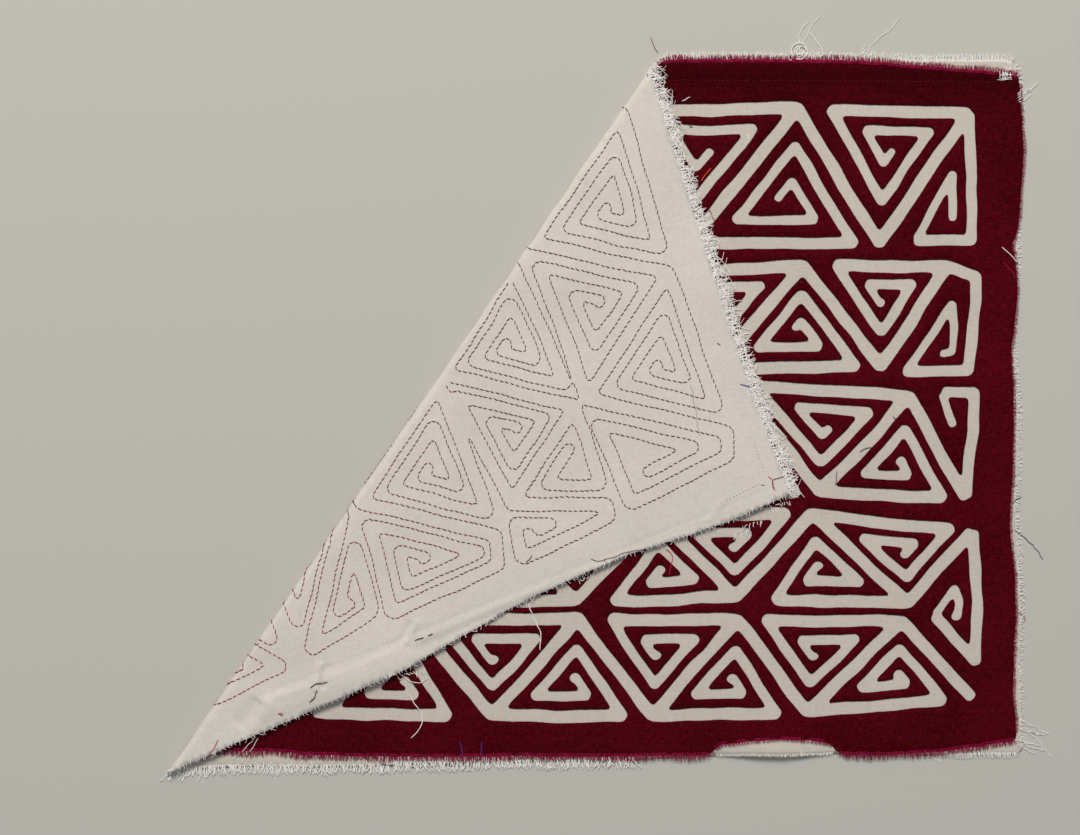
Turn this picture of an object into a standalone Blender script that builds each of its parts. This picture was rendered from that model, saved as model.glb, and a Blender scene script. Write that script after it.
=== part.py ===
# A two layer cut cloth panel, with its left part folded over onto the rest.
# All lengths are in metres unless a table says otherwise. +Z is up.
# The panel is laid out flat first, with X to the right and Y away, and then bent along one straight fold.
import math

import bmesh
import bpy
from mathutils import Vector
from mathutils.geometry import delaunay_2d_cdt

# Driving dimensions
MM = 0.001
CLOTH_THICKNESS = 0.0010
LAYER_GAP = 0.00035
FOLD_AXIS_HEIGHT = 0.00335
FOLD_STEPS = 6
FLAP_SETTLE = 0.0015
FLAP_SETTLE_LENGTH = 0.0600
FLAP_SETTLE_STEPS = 4
FOLD_LINE_TOP = (0.03225, 0.18075)
FOLD_LINE_BOTTOM = (-0.21525, -0.18075)
CENTRE_SHIFT = (-0.000028, 0.000413)
CHANNEL_WIDTH = 0.0063
ARM_WIDTH = 0.0055
TAIL_WIDTH = 0.0057
HOOK_SHARE = 0.85
CAP_SHARE = 0.8
MITRE_LIMIT = 1.7
LEAST_TURN_LENGTH = 0.0060
LEAST_TURN_HEIGHT = 0.0040
WELD = 0.00005
LINE_REACH = 0.3
EDGE_ROW = 0.0035

# The near edge buckles up where the top cloth is drawn in: its middle, half length, depth and rise
BUCKLE_MIDDLE = 0.0890
BUCKLE_HALF_LENGTH = 0.0370
BUCKLE_EDGE = -0.1730
BUCKLE_DEPTH = 0.0220
BUCKLE_RISE = 0.0030
BUCKLE_LAYER_RISE = 0.0004
BUCKLE_STEP = 0.0075

# The height of each cloth's under side above the table, before folding
BASE_LOW = 0.0
TOP_LOW = CLOTH_THICKNESS + LAYER_GAP

# The edges of each cloth, laid flat, in millimetres as (x, y), clockwise from the far left corner
BASE_EDGES = {
    "far": ((-200.2, 168.2), (-137.8, 171.8), (-82.8, 175.2), (-25.2, 178.8), (32.2, 181.8),
            (82.2, 181.2), (133.2, 180.8), (176.2, 178.2), (209.8, 170.2)),
    "right": ((213.2, 161.8), (214.8, 131.8), (212.8, 92.8), (211.8, 62.2), (210.8, 36.8),
              (212.8, 6.8), (212.8, -23.2), (211.2, -43.2), (212.8, -73.2), (214.2, -103.2),
              (213.8, -138.2), (214.8, -167.2)),
    "near": ((202.2, -171.8), (167.2, -173.8), (122.2, -172.2), (97.2, -171.8), (62.2, -173.2),
             (12.2, -175.2), (-47.8, -176.8), (-107.8, -178.2), (-157.8, -179.8), (-215.2, -180.8)),
    "left": ((-212.2, -113.2), (-209.8, -53.2), (-203.8, -13.2), (-198.8, 21.8), (-196.2, 71.8),
             (-200.2, 126.8)),
}
TOP_EDGES = {
    "far": ((-198.2, 166.2), (-137.8, 169.8), (-82.8, 173.2), (-25.2, 176.8), (32.2, 179.2),
            (82.2, 178.8), (133.2, 178.8), (167.2, 175.8), (202.2, 171.8), (211.8, 168.2)),
    "right": ((213.8, 153.8), (215.2, 131.8), (212.2, 92.8), (208.8, 84.8), (210.2, 76.8),
              (211.8, 62.2), (208.8, 30.8), (209.8, -3.8), (208.8, -36.2), (207.2, -55.2),
              (209.8, -73.2), (210.8, -100.2), (209.8, -138.2), (211.8, -160.8)),
    "near": ((209.2, -163.2), (175.8, -170.8), (136.8, -171.8), (128.2, -169.8), (119.2, -165.8),
             (97.2, -163.2), (72.2, -164.2), (63.2, -167.2), (56.2, -171.8), (12.2, -172.2),
             (-47.8, -171.8), (-107.8, -171.8), (-147.8, -172.2), (-194.8, -169.2),
             (-210.8, -176.2)),
    "left": ((-206.2, -53.2), (-200.8, -13.2), (-195.8, 21.8), (-193.8, 81.8), (-197.2, 126.8)),
}

# Each row of the cut pattern in millimetres: the way its spirals turn, the pitch of the turns,
# the corners of its zigzag, and the corners of the last channel at the right margin
ROWS = (
    {
        "turn": 1, "pitch": 10.6, "inner_pitch": 9.8,
        "zigzag": ((-171.8, 84.8), (-162.2, 143.8), (-115.2, 85.2), (-73.2, 146.8), (-28.8, 88.8),
                   (9.8, 149.8), (47.2, 85.2), (100.8, 152.8), (142.2, 85.2), (186.2, 150.2)),
        "tail": ((186.2, 150.2), (189.8, 85.2), (157.8, 86.2), (180.8, 123.8), (178.2, 95.2)),
    },
    {
        "turn": 1, "pitch": 9.1, "inner_pitch": 8.2,
        "zigzag": ((-177.8, 25.8), (-171.2, 74.8), (-150.8, 29.8), (-116.8, 77.2), (-78.8, 21.8),
                   (-40.8, 73.8), (-0.8, 20.8), (33.8, 70.2), (60.8, 22.8), (104.8, 74.8),
                   (142.8, 23.8), (176.2, 73.8)),
        "tail": ((176.2, 73.8), (189.2, 70.8), (188.2, 21.2), (153.8, 22.2), (179.8, 57.8),
                 (177.8, 31.2), (171.8, 30.2)),
    },
    {
        "turn": 1, "pitch": 9.7, "inner_pitch": 9.0,
        "zigzag": ((-179.8, -46.2), (-172.8, 17.8), (-123.2, -38.2), (-82.2, 17.8), (-44.2, -43.2),
                   (-2.8, 14.8), (36.2, -43.2), (72.2, 13.8), (112.2, -39.2), (158.2, 8.2),
                   (185.2, -42.8)),
        "tail": ((185.2, -42.8), (189.2, 11.2), (173.2, 10.2), (180.2, -8.2)),
    },
    {
        "turn": -1, "pitch": 8.8, "inner_pitch": 7.9,
        "zigzag": ((-177.8, -52.2), (-180.8, -89.2), (-125.8, -50.2), (-90.2, -93.2), (-49.2, -51.8),
                   (-10.2, -94.2), (29.8, -50.8), (69.8, -92.2), (107.8, -50.2), (156.2, -94.8),
                   (187.8, -59.2)),
        "tail": ((187.8, -59.2), (190.8, -125.2), (167.8, -99.2), (180.8, -84.8), (182.8, -99.2),
                 (178.8, -101.8)),
    },
    {
        "turn": 1, "pitch": 9.3, "inner_pitch": 8.6,
        "zigzag": ((-186.8, -144.2), (-171.8, -104.2), (-135.2, -150.2), (-91.8, -102.8),
                   (-51.8, -151.2), (-8.8, -102.8), (28.2, -151.2), (70.8, -103.2),
                   (106.2, -149.2), (153.2, -103.8), (188.2, -141.8)),
        "tail": (),
    },
)

# Finishes: colour, metallic and roughness
COTTON_NATURAL = ("natural_cotton", (0.585, 0.535, 0.475, 1.0), 0.0, 0.92)
COTTON_WINE = ("wine_red_cotton", (0.072, 0.0035, 0.0135, 1.0), 0.0, 0.88)


def clear_scene():
    for item in list(bpy.data.objects):
        bpy.data.objects.remove(item, do_unlink=True)


def make_finish(spec):
    name, colour, metallic, roughness = spec
    finish = bpy.data.materials.new(name)
    finish.use_nodes = True
    shader = finish.node_tree.nodes["Principled BSDF"]
    shader.inputs["Base Color"].default_value = colour
    shader.inputs["Metallic"].default_value = metallic
    shader.inputs["Roughness"].default_value = roughness
    finish.diffuse_color = colour
    return finish


def outline_of(edges):
    points = []
    for side in ("far", "right", "near", "left"):
        points.extend((x * MM, y * MM) for x, y in edges[side])
    return points


def shifted_line(start, end, inside, distance):
    run = Vector(end) - Vector(start)
    run.normalize()
    across = Vector((-run.y, run.x))
    if across.dot(Vector(inside) - Vector(start)) < 0.0:
        across.negate()
    return Vector(start) + across * distance, Vector(end) + across * distance


def meet(first, second):
    origin, run = first[0], first[1] - first[0]
    other, along = second[0], second[1] - second[0]
    cross = run.x * along.y - run.y * along.x
    share = ((other.x - origin.x) * along.y - (other.y - origin.y) * along.x) / cross
    return origin + run * share


def spiral_arm(start, other, apex, pitch, inner_pitch):
    middle = (Vector(start) + Vector(other) + Vector(apex)) / 3.0
    base = shifted_line(start, other, middle, 0.0)
    base_in = shifted_line(start, other, middle, pitch)
    far_in = shifted_line(other, apex, middle, pitch)
    far_deep = shifted_line(other, apex, middle, pitch + inner_pitch)
    near_in = shifted_line(start, apex, middle, pitch)
    near_deep = shifted_line(start, apex, middle, pitch + inner_pitch)
    tip = meet(far_deep, near_deep)
    back = Vector(start) - Vector(apex)
    back.normalize()
    return [
        Vector(start),
        meet(base, far_in),
        meet(far_in, near_in),
        meet(near_in, base_in),
        meet(base_in, far_deep),
        tip,
        tip + back * inner_pitch * HOOK_SHARE,
    ]


def has_room(arm, start, other):
    # The inner turn is only cut where the triangle leaves room for it
    run = (Vector(other) - Vector(start)).normalized()
    length = (arm[4] - arm[3]).dot(run)
    height = abs(run.x * (arm[5] - arm[3]).y - run.y * (arm[5] - arm[3]).x)
    return length > LEAST_TURN_LENGTH and height > LEAST_TURN_HEIGHT


def pattern_paths():
    paths = []
    for row in ROWS:
        corners = [Vector((x * MM, y * MM)) for x, y in row["zigzag"]]
        paths.append((corners, CHANNEL_WIDTH))
        if row["tail"]:
            tail = [Vector((x * MM, y * MM)) for x, y in row["tail"]]
            paths.append((tail, TAIL_WIDTH))
        for index in range(1, len(corners) - 1):
            before, apex, after = corners[index - 1:index + 2]
            points_up = apex.y > (before.y + after.y) / 2.0
            from_left = points_up == (row["turn"] > 0)
            start, other = (before, after) if from_left else (after, before)
            arm = spiral_arm(start, other, apex, row["pitch"] * MM, row["inner_pitch"] * MM)
            if not has_room(arm, start, other):
                arm = arm[:4]
            paths.append((arm, ARM_WIDTH))
    return paths


def band_outline(path, width):
    # A strip of even width around a bent line, with clipped outer corners
    half = width / 2.0
    left = []
    right = []
    last = len(path) - 1
    for index, point in enumerate(path):
        if index in (0, last):
            run = (path[1] - path[0]) if index == 0 else (path[last] - path[last - 1])
            run.normalize()
            cap = point + run * half * (CAP_SHARE if index == last else -CAP_SHARE)
            normal = Vector((-run.y, run.x)) * half
            left.append(cap + normal)
            right.append(cap - normal)
            continue
        into = (point - path[index - 1]).normalized()
        out = (path[index + 1] - point).normalized()
        normal_in = Vector((-into.y, into.x)) * half
        normal_out = Vector((-out.y, out.x)) * half
        mean = (normal_in + normal_out).normalized()
        reach = half * half / max(mean.dot(normal_in), half * 0.2)
        turns_left = into.x * out.y - into.y * out.x > 0.0
        for side, points in ((1.0, left), (-1.0, right)):
            outer = turns_left == (side < 0.0)
            if outer and reach > half * MITRE_LIMIT:
                points.append(point + normal_in * side + into * half * CAP_SHARE)
                points.append(point + normal_out * side - out * half * CAP_SHARE)
            else:
                points.append(point + mean * reach * side)
    return left + right[::-1]


def inside(x, y, polygon):
    hit = False
    count = len(polygon)
    for index in range(count):
        ax, ay = polygon[index]
        bx, by = polygon[(index + 1) % count]
        if (ay > y) != (by > y) and x < (bx - ax) * (y - ay) / (by - ay) + ax:
            hit = not hit
    return hit


def fold_frame():
    top = Vector(FOLD_LINE_TOP)
    bottom = Vector(FOLD_LINE_BOTTOM)
    along = (top - bottom).normalized()
    across = Vector((along.y, -along.x))
    return bottom, along, across


def fold_point(x, y, height):
    # Bends a point of the flat panel, at a height in its layers, around the fold
    origin, along, across = fold_frame()
    offset = Vector((x, y)) - origin
    run = offset.dot(along)
    reach = offset.dot(across)
    radius = FOLD_AXIS_HEIGHT
    if reach >= radius:
        side = reach
        rise = height
    elif reach > radius - math.pi * bend_radius():
        turn = (radius - reach) / bend_radius()
        side = radius - (radius - height) * math.sin(turn)
        rise = radius - (radius - height) * math.cos(turn)
    else:
        side = 2.0 * radius - math.pi * bend_radius() - reach
        rise = 2.0 * radius - height - flap_settle(side - radius)
    place = origin + along * run + across * side
    rise += buckle_rise(x, y, height)
    return (place.x - CENTRE_SHIFT[0], place.y - CENTRE_SHIFT[1], rise)


def buckle_rise(x, y, height):
    # How far the near edge stands up at a point; the top cloth stands a little higher
    sideways = abs(x - BUCKLE_MIDDLE) / BUCKLE_HALF_LENGTH
    inward = (y - BUCKLE_EDGE) / BUCKLE_DEPTH
    if sideways >= 1.0 or inward >= 1.0:
        return 0.0
    swell = 0.5 + 0.5 * math.cos(math.pi * sideways)
    fade = 0.5 + 0.5 * math.cos(math.pi * max(inward, 0.0))
    peak = BUCKLE_RISE + (BUCKLE_LAYER_RISE if height > TOP_LOW - WELD else 0.0)
    return peak * swell * fade


def buckle_points():
    # Extra points that let the sheet bend at the buckle
    columns = int(2.0 * BUCKLE_HALF_LENGTH / BUCKLE_STEP) + 1
    rows = int(BUCKLE_DEPTH / BUCKLE_STEP) + 2
    points = []
    for column in range(columns + 1):
        for row in range(rows):
            x = BUCKLE_MIDDLE - BUCKLE_HALF_LENGTH + column * BUCKLE_STEP
            y = BUCKLE_EDGE + EDGE_ROW + row * BUCKLE_STEP
            points.append(Vector((x, y)))
    return points


def flap_settle(distance):
    # How far the folded part has sunk, at a distance from the end of the bend, in straight steps
    place = min(distance / FLAP_SETTLE_LENGTH, 1.0) * FLAP_SETTLE_STEPS
    step = min(int(place), FLAP_SETTLE_STEPS - 1)
    before = ease(step / FLAP_SETTLE_STEPS)
    after = ease((step + 1) / FLAP_SETTLE_STEPS)
    return FLAP_SETTLE * (before + (after - before) * (place - step))


def ease(share):
    return share * share * (3.0 - 2.0 * share)


def bend_radius():
    return 2.0 * FOLD_AXIS_HEIGHT / math.pi


def fold_lines(reach):
    # Lines along the fold where the bend changes
    origin, along, across = fold_frame()
    bend_end = FOLD_AXIS_HEIGHT - bend_radius() * math.pi
    offsets = [
        FOLD_AXIS_HEIGHT - bend_radius() * math.pi * step / FOLD_STEPS
        for step in range(FOLD_STEPS)
    ]
    offsets += [
        bend_end - FLAP_SETTLE_LENGTH * step / FLAP_SETTLE_STEPS
        for step in range(FLAP_SETTLE_STEPS + 1)
    ]
    lines = []
    for offset in offsets:
        start = origin + across * offset - along * reach
        end = origin + across * offset + along * reach * 2.0
        lines.append((start, end))
    return lines


def flat_triangles(outline, holes):
    # Triangles of the flat cloth: inside its outline and clear of every cut channel
    points = []
    edges = []
    for loop in [outline] + holes:
        first = len(points)
        count = len(loop)
        points.extend(Vector(point) for point in loop)
        edges.extend((first + index, first + (index + 1) % count) for index in range(count))
    for start, end in fold_lines(LINE_REACH):
        first = len(points)
        points.extend((start, end))
        edges.append((first, first + 1))
    points.extend(buckle_points())
    made = delaunay_2d_cdt(points, edges, [], 0, WELD)
    corners = [(point.x, point.y) for point in made[0]]
    kept = []
    for face in made[2]:
        x = sum(corners[index][0] for index in face) / 3.0
        y = sum(corners[index][1] for index in face) / 3.0
        if not inside(x, y, outline):
            continue
        if any(inside(x, y, hole) for hole in holes):
            continue
        kept.append(tuple(face))
    return corners, largest_patch(kept)


def largest_patch(faces):
    # Only the cloth that hangs together through its edges is one piece
    by_edge = {}
    for number, face in enumerate(faces):
        for index in range(3):
            edge = tuple(sorted((face[index], face[(index + 1) % 3])))
            by_edge.setdefault(edge, []).append(number)
    patch_of = {}
    best = []
    for number in range(len(faces)):
        if number in patch_of:
            continue
        patch = []
        waiting = [number]
        patch_of[number] = number
        while waiting:
            current = waiting.pop()
            patch.append(current)
            face = faces[current]
            for index in range(3):
                edge = tuple(sorted((face[index], face[(index + 1) % 3])))
                for beside in by_edge[edge]:
                    if beside not in patch_of:
                        patch_of[beside] = number
                        waiting.append(beside)
        if len(patch) > len(best):
            best = patch
    return [faces[number] for number in best]


def make_cloth(name, outline, holes, low, finish):
    # A closed sheet of even thickness, folded with its layer
    corners, faces = flat_triangles(outline, holes)
    mesh = bpy.data.meshes.new(name)
    build = bmesh.new()
    used = sorted({index for face in faces for index in face})
    under = {}
    over = {}
    for index in used:
        x, y = corners[index]
        under[index] = build.verts.new(fold_point(x, y, low))
        over[index] = build.verts.new(fold_point(x, y, low + CLOTH_THICKNESS))
    count = {}
    for a, b, c in faces:
        ax, ay = corners[a]
        bx, by = corners[b]
        cx, cy = corners[c]
        if (bx - ax) * (cy - ay) - (by - ay) * (cx - ax) < 0.0:
            b, c = c, b
        build.faces.new((over[a], over[b], over[c]))
        build.faces.new((under[c], under[b], under[a]))
        for edge in ((a, b), (b, c), (c, a)):
            count[edge] = count.get(edge, 0) + 1
    for a, b in list(count):
        if (b, a) not in count:
            build.faces.new((under[a], under[b], over[b]))
            build.faces.new((under[a], over[b], over[a]))
    build.to_mesh(mesh)
    build.free()
    mesh.materials.append(finish)
    cloth = bpy.data.objects.new(name, mesh)
    bpy.context.scene.collection.objects.link(cloth)
    return cloth


def main():
    clear_scene()
    base = outline_of(BASE_EDGES)
    top = outline_of(TOP_EDGES)
    channels = [band_outline(path, width) for path, width in pattern_paths()]
    holes = [[(point.x, point.y) for point in loop] for loop in channels]
    make_cloth("base_cloth", base, [], BASE_LOW, make_finish(COTTON_NATURAL))
    make_cloth("top_cloth", top, holes, TOP_LOW, make_finish(COTTON_WINE))


main()
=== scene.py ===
"""Looks of a mola panel: two cotton cloths, cut and sewn through each other, with one side folded over.

The panel is drawn laid out flat, in metres, with X along its long side and Y away from the near edge.
Each piece is made on that flat drawing and then bent around the fold together.
"""
import logging
import math
from collections.abc import Callable, Sequence
from dataclasses import dataclass, field
from enum import Enum

import bpy
import numpy as np
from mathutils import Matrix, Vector
from mathutils.bvhtree import BVHTree
from mathutils.geometry import delaunay_2d_cdt


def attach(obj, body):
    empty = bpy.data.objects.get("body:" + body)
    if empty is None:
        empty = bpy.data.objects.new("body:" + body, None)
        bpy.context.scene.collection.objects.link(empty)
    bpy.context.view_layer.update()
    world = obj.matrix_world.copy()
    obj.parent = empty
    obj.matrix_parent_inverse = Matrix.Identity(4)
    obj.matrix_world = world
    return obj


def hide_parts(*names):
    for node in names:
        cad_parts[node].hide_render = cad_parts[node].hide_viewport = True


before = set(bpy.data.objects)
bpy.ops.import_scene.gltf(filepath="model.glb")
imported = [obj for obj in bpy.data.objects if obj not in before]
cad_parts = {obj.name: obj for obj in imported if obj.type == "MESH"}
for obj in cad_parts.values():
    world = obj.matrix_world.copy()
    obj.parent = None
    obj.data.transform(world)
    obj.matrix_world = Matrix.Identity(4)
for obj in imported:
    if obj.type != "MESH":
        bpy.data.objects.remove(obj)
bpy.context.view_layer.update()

LOG = logging.getLogger("mola_panel")

MM = 0.001
# Metres for each pixel of the photograph, and the pixel at the panel's middle
PIXEL = 0.0005
PHOTO_MIDDLE = (595.5, 413.5)
# Corners of the flat drawing's grid, a little outside both cloths
DRAWING_LOW = (-0.222, -0.188)
DRAWING_HIGH = (0.222, 0.190)
# Corner radius of a channel's blunt end, as a share of half its width
BAR_ROUNDING = 0.55
# A cut edge with fewer points than this is a crumb
FEWEST_POINTS = 8
# The largest distance from an edge that is worked out
REACH = 9.0 * MM
# How squarely an edge has to face a side to belong to it, as a cosine
FACING = 0.75

Array = np.ndarray
Pair = tuple[float, float]


def place_of(x: float, y: float) -> Pair:
    """Returns the place in metres of a photograph pixel (x, y), with the panel's middle as zero."""
    return ((x - PHOTO_MIDDLE[0]) * PIXEL, (PHOTO_MIDDLE[1] - y) * PIXEL)


def ease(share: Array) -> Array:
    """Returns a soft step from 0 to 1 over shares 0 to 1."""
    held = np.clip(share, 0.0, 1.0)
    return held * held * (3.0 - 2.0 * held)


def ripple(flat: Array, length: float, seed: int, waves: int = 7) -> Array:
    """Draws an even, random looking height over the flat drawing.

    Args:
        flat: Places on the flat cloth, one row each.
        length: Typical distance between two crests, in metres.
        seed: Number that picks the waves.
        waves: How many waves are added up.

    Returns:
        Heights of about -1 to 1, one for each place.
    """
    chance = np.random.default_rng(seed)
    total = np.zeros(flat.shape[:-1])
    for _ in range(waves):
        way = chance.uniform(0.0, math.tau)
        pitch = math.tau / (length * chance.uniform(0.7, 1.5))
        along = flat[..., 0] * math.cos(way) + flat[..., 1] * math.sin(way)
        total += np.sin(along * pitch + chance.uniform(0.0, math.tau))
    return total / math.sqrt(waves)


def nearest_on(flat: Array, start: Pair, end: Pair) -> tuple[Array, Array]:
    """Measures places against a straight line.

    Args:
        flat: Places on the flat cloth, one row each.
        start: First end of the line.
        end: Other end of the line.

    Returns:
        The share along the line, and the distance from it.
    """
    run = np.subtract(end, start)
    share = np.clip(((flat - start) @ run) / (run @ run), 0.0, 1.0)
    gap = flat - start - share[..., None] * run
    return share, np.hypot(gap[..., 0], gap[..., 1])


def bar_distance(flat: Array, start: Pair, end: Pair, beyond: Pair, half: float) -> Array:
    """Measures places against a straight bar with blunt ends and slightly rounded corners.

    Args:
        flat: Places on the flat cloth.
        start: First end of the bar's middle line.
        end: Other end of the middle line.
        beyond: How far the bar goes on past its two ends.
        half: Half the bar's width.

    Returns:
        The distance outside the bar, negative inside it.
    """
    run = np.subtract(end, start)
    length = float(np.hypot(*run))
    run = run / length
    gap = flat - start
    along = gap @ run
    aside = np.abs(run[0] * gap[..., 1] - run[1] * gap[..., 0])
    soft = BAR_ROUNDING * half
    over = np.maximum(-along - beyond[0], along - length - beyond[1]) + soft
    wide = aside - half + soft
    outer = np.hypot(np.maximum(over, 0.0), np.maximum(wide, 0.0))
    return outer + np.minimum(np.maximum(over, wide), 0.0) - soft


@dataclass(frozen=True)
class Crease:
    """A soft ridge or trough pressed into the cloth, on the flat drawing."""

    start: Pair
    end: Pair
    half_width: float
    rise: float

    def places(self) -> Array:
        """Returns flat places along the crease, close enough together to show its shape."""
        run = np.subtract(self.end, self.start)
        length = float(np.hypot(*run))
        run = run / length
        stops = np.arange(0.0, length, 1.3 * MM)[:, None, None]
        sides = np.array((-2.1, -1.3, -0.6, 0.0, 0.6, 1.3, 2.1))[None, :, None] * self.half_width
        return (self.start + stops * run + sides * np.array((-run[1], run[0]))).reshape(-1, 2)

    def height(self, flat: Array) -> Array:
        """Returns how far the crease lifts each place."""
        share, gap = nearest_on(flat, self.start, self.end)
        body = np.exp(-((gap / self.half_width) ** 2))
        return self.rise * body * ease(share * 8.0) * ease((1.0 - share) * 8.0)


@dataclass(frozen=True)
class Fold:
    """The straight fold and everything that lifts the cloths off the flat.

    A point of the flat drawing with a height in the layers becomes a point of the folded panel. The
    shift moves the panel so that the solids' box has its middle at zero.
    """

    near_end: Pair = place_of(165.0, 775.0)
    far_end: Pair = place_of(660.0, 52.0)
    shift: Pair = (-0.000028, 0.000413)
    axis_height: float = 2.45 * MM
    settle: float = 1.80 * MM
    settle_length: float = 50.0 * MM
    buckle_middle: float = 89.0 * MM
    buckle_half_length: float = 38.0 * MM
    buckle_edge: float = -173.0 * MM
    buckle_depth: float = 22.0 * MM
    buckle_rise: float = 3.2 * MM
    table_wave: float = 0.16 * MM
    folded_wave: float = 0.42 * MM
    creases: tuple[Crease, ...] = ()

    def axes(self) -> tuple[Array, Array, Array]:
        """Returns the fold's start, its direction, and the direction to the side that stays down."""
        start = np.array(self.near_end)
        along = np.array(self.far_end) - start
        along /= np.linalg.norm(along)
        return start, along, np.array((along[1], -along[0]))

    def mirrored(self, place: Pair) -> Pair:
        """Returns the flat place of a point that is seen on the folded side."""
        start, _, across = self.axes()
        gap = float(np.dot(np.subtract(place, start), across))
        return (place[0] - 2.0 * gap * across[0], place[1] - 2.0 * gap * across[1])

    def reach(self, flat: Array) -> Array:
        """Returns each place's distance from the fold, positive on the side that stays down."""
        start, _, across = self.axes()
        return (flat - start) @ across

    def relief(self, flat: Array) -> Array:
        """Returns how far each place is lifted by waves, creases and the buckled near edge."""
        reach = self.reach(flat)
        calm = ease((np.abs(reach) - 4.0 * MM) / (22.0 * MM))
        down = self.table_wave * (1.0 + ripple(flat, 46.0 * MM, 11))
        over = self.folded_wave * (1.0 + ripple(flat, 62.0 * MM, 23))
        lift = calm * np.where(reach > 0.0, np.maximum(down, 0.0), np.maximum(over, 0.0))
        for crease in self.creases:
            lift = lift + crease.height(flat)
        sideways = np.clip(np.abs(flat[..., 0] - self.buckle_middle) / self.buckle_half_length, 0.0, 1.0)
        inward = np.clip((flat[..., 1] - self.buckle_edge) / self.buckle_depth, 0.0, 1.0)
        swell = 0.25 * (1.0 + np.cos(math.pi * sideways)) * (1.0 + np.cos(math.pi * inward))
        return lift + self.buckle_rise * swell

    def bend(self, flat: Array, height: Array) -> Array:
        """Folds points of the flat panel.

        Args:
            flat: Places on the flat drawing, one row each.
            height: Height of each point in the stack of layers.

        Returns:
            The folded points in the row frame.
        """
        start, along, across = self.axes()
        offset = flat - start
        run = offset @ along
        reach = offset @ across
        radius = self.axis_height
        turn = np.clip((radius - reach) / (2.0 * radius / math.pi), 0.0, math.pi)
        lift = self.relief(flat)
        side = radius - (radius - height) * np.sin(turn)
        rise = radius - (radius - height) * np.cos(turn)
        beyond = -radius - reach
        side = np.where(reach >= radius, reach, side)
        side = np.where(beyond > 0.0, side + beyond, side)
        sunk = self.settle * ease(beyond / self.settle_length)
        rise = np.where(beyond > 0.0, 2.0 * radius - height - sunk, rise)
        place = start + run[..., None] * along + side[..., None] * across - np.array(self.shift)
        return np.concatenate([place, (rise + lift)[..., None]], axis=-1)


@dataclass(frozen=True)
class PatternRow:
    """One row of the cut pattern: a zigzag channel with a spiral in each of its triangles.

    Lengths are in millimetres. With turn 1, a triangle that points away from the near edge has its arm
    start at the left corner, and one that points to it at the right corner; -1 is the other way round.
    The base pitch is the arm's distance from the base in these two kinds of triangle. The tail is one
    more channel, with a hook in it at a row's right end. Narrow gives, by the number of a triangle's
    tip in the zigzag, the share of the base by which the corner across from the arm's start moves in.
    """

    turn: int
    pitch: float
    inner_pitch: float
    base_pitch: Pair
    zigzag: tuple[Pair, ...]
    tail: tuple[Pair, ...] = ()
    tail_hook: tuple[Pair, ...] = ()
    blunt_corner: int = 0
    blunt_length: float = 0.0
    narrow: tuple[tuple[int, float], ...] = ()

    def cut_corner(self, corner: int, towards: int) -> Array:
        """Returns a corner of the zigzag, moved along one of its sides if it is cut blunt."""
        at = np.array(self.zigzag[corner]) * MM
        if corner != self.blunt_corner or not self.blunt_length:
            return at
        run = np.array(self.zigzag[towards]) * MM - at
        return at + run * (self.blunt_length * MM / np.linalg.norm(run))

    def line(self) -> list[Array]:
        """Returns the zigzag's points, with the blunt corner as two of them."""
        points = []
        for corner in range(len(self.zigzag)):
            for towards in (corner - 1, corner + 1):
                at = self.cut_corner(corner, towards % len(self.zigzag))
                if not points or np.linalg.norm(at - points[-1]) > 0.1 * MM:
                    points.append(at)
        return points


@dataclass(frozen=True)
class Channel:
    """One cut channel: the middle line that it follows, and its width."""

    line: tuple[Pair, ...]
    width: float


def shifted_line(start: Array, end: Array, inside: Array, distance: float) -> tuple[Array, Array]:
    """Moves a line sideways.

    Args:
        start: First point of the line.
        end: Second point of the line.
        inside: A point on the side to move to.
        distance: How far to move it.

    Returns:
        The moved line's two points.
    """
    run = (end - start) / np.linalg.norm(end - start)
    across = np.array((-run[1], run[0]))
    if across @ (inside - start) < 0.0:
        across = -across
    return start + across * distance, end + across * distance


def meet(first: tuple[Array, Array], second: tuple[Array, Array]) -> Array:
    """Returns the point where two lines cross, each given by two points."""
    run = first[1] - first[0]
    along = second[1] - second[0]
    gap = second[0] - first[0]
    cross = run[0] * along[1] - run[1] * along[0]
    return first[0] + run * ((gap[0] * along[1] - gap[1] * along[0]) / cross)


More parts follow.
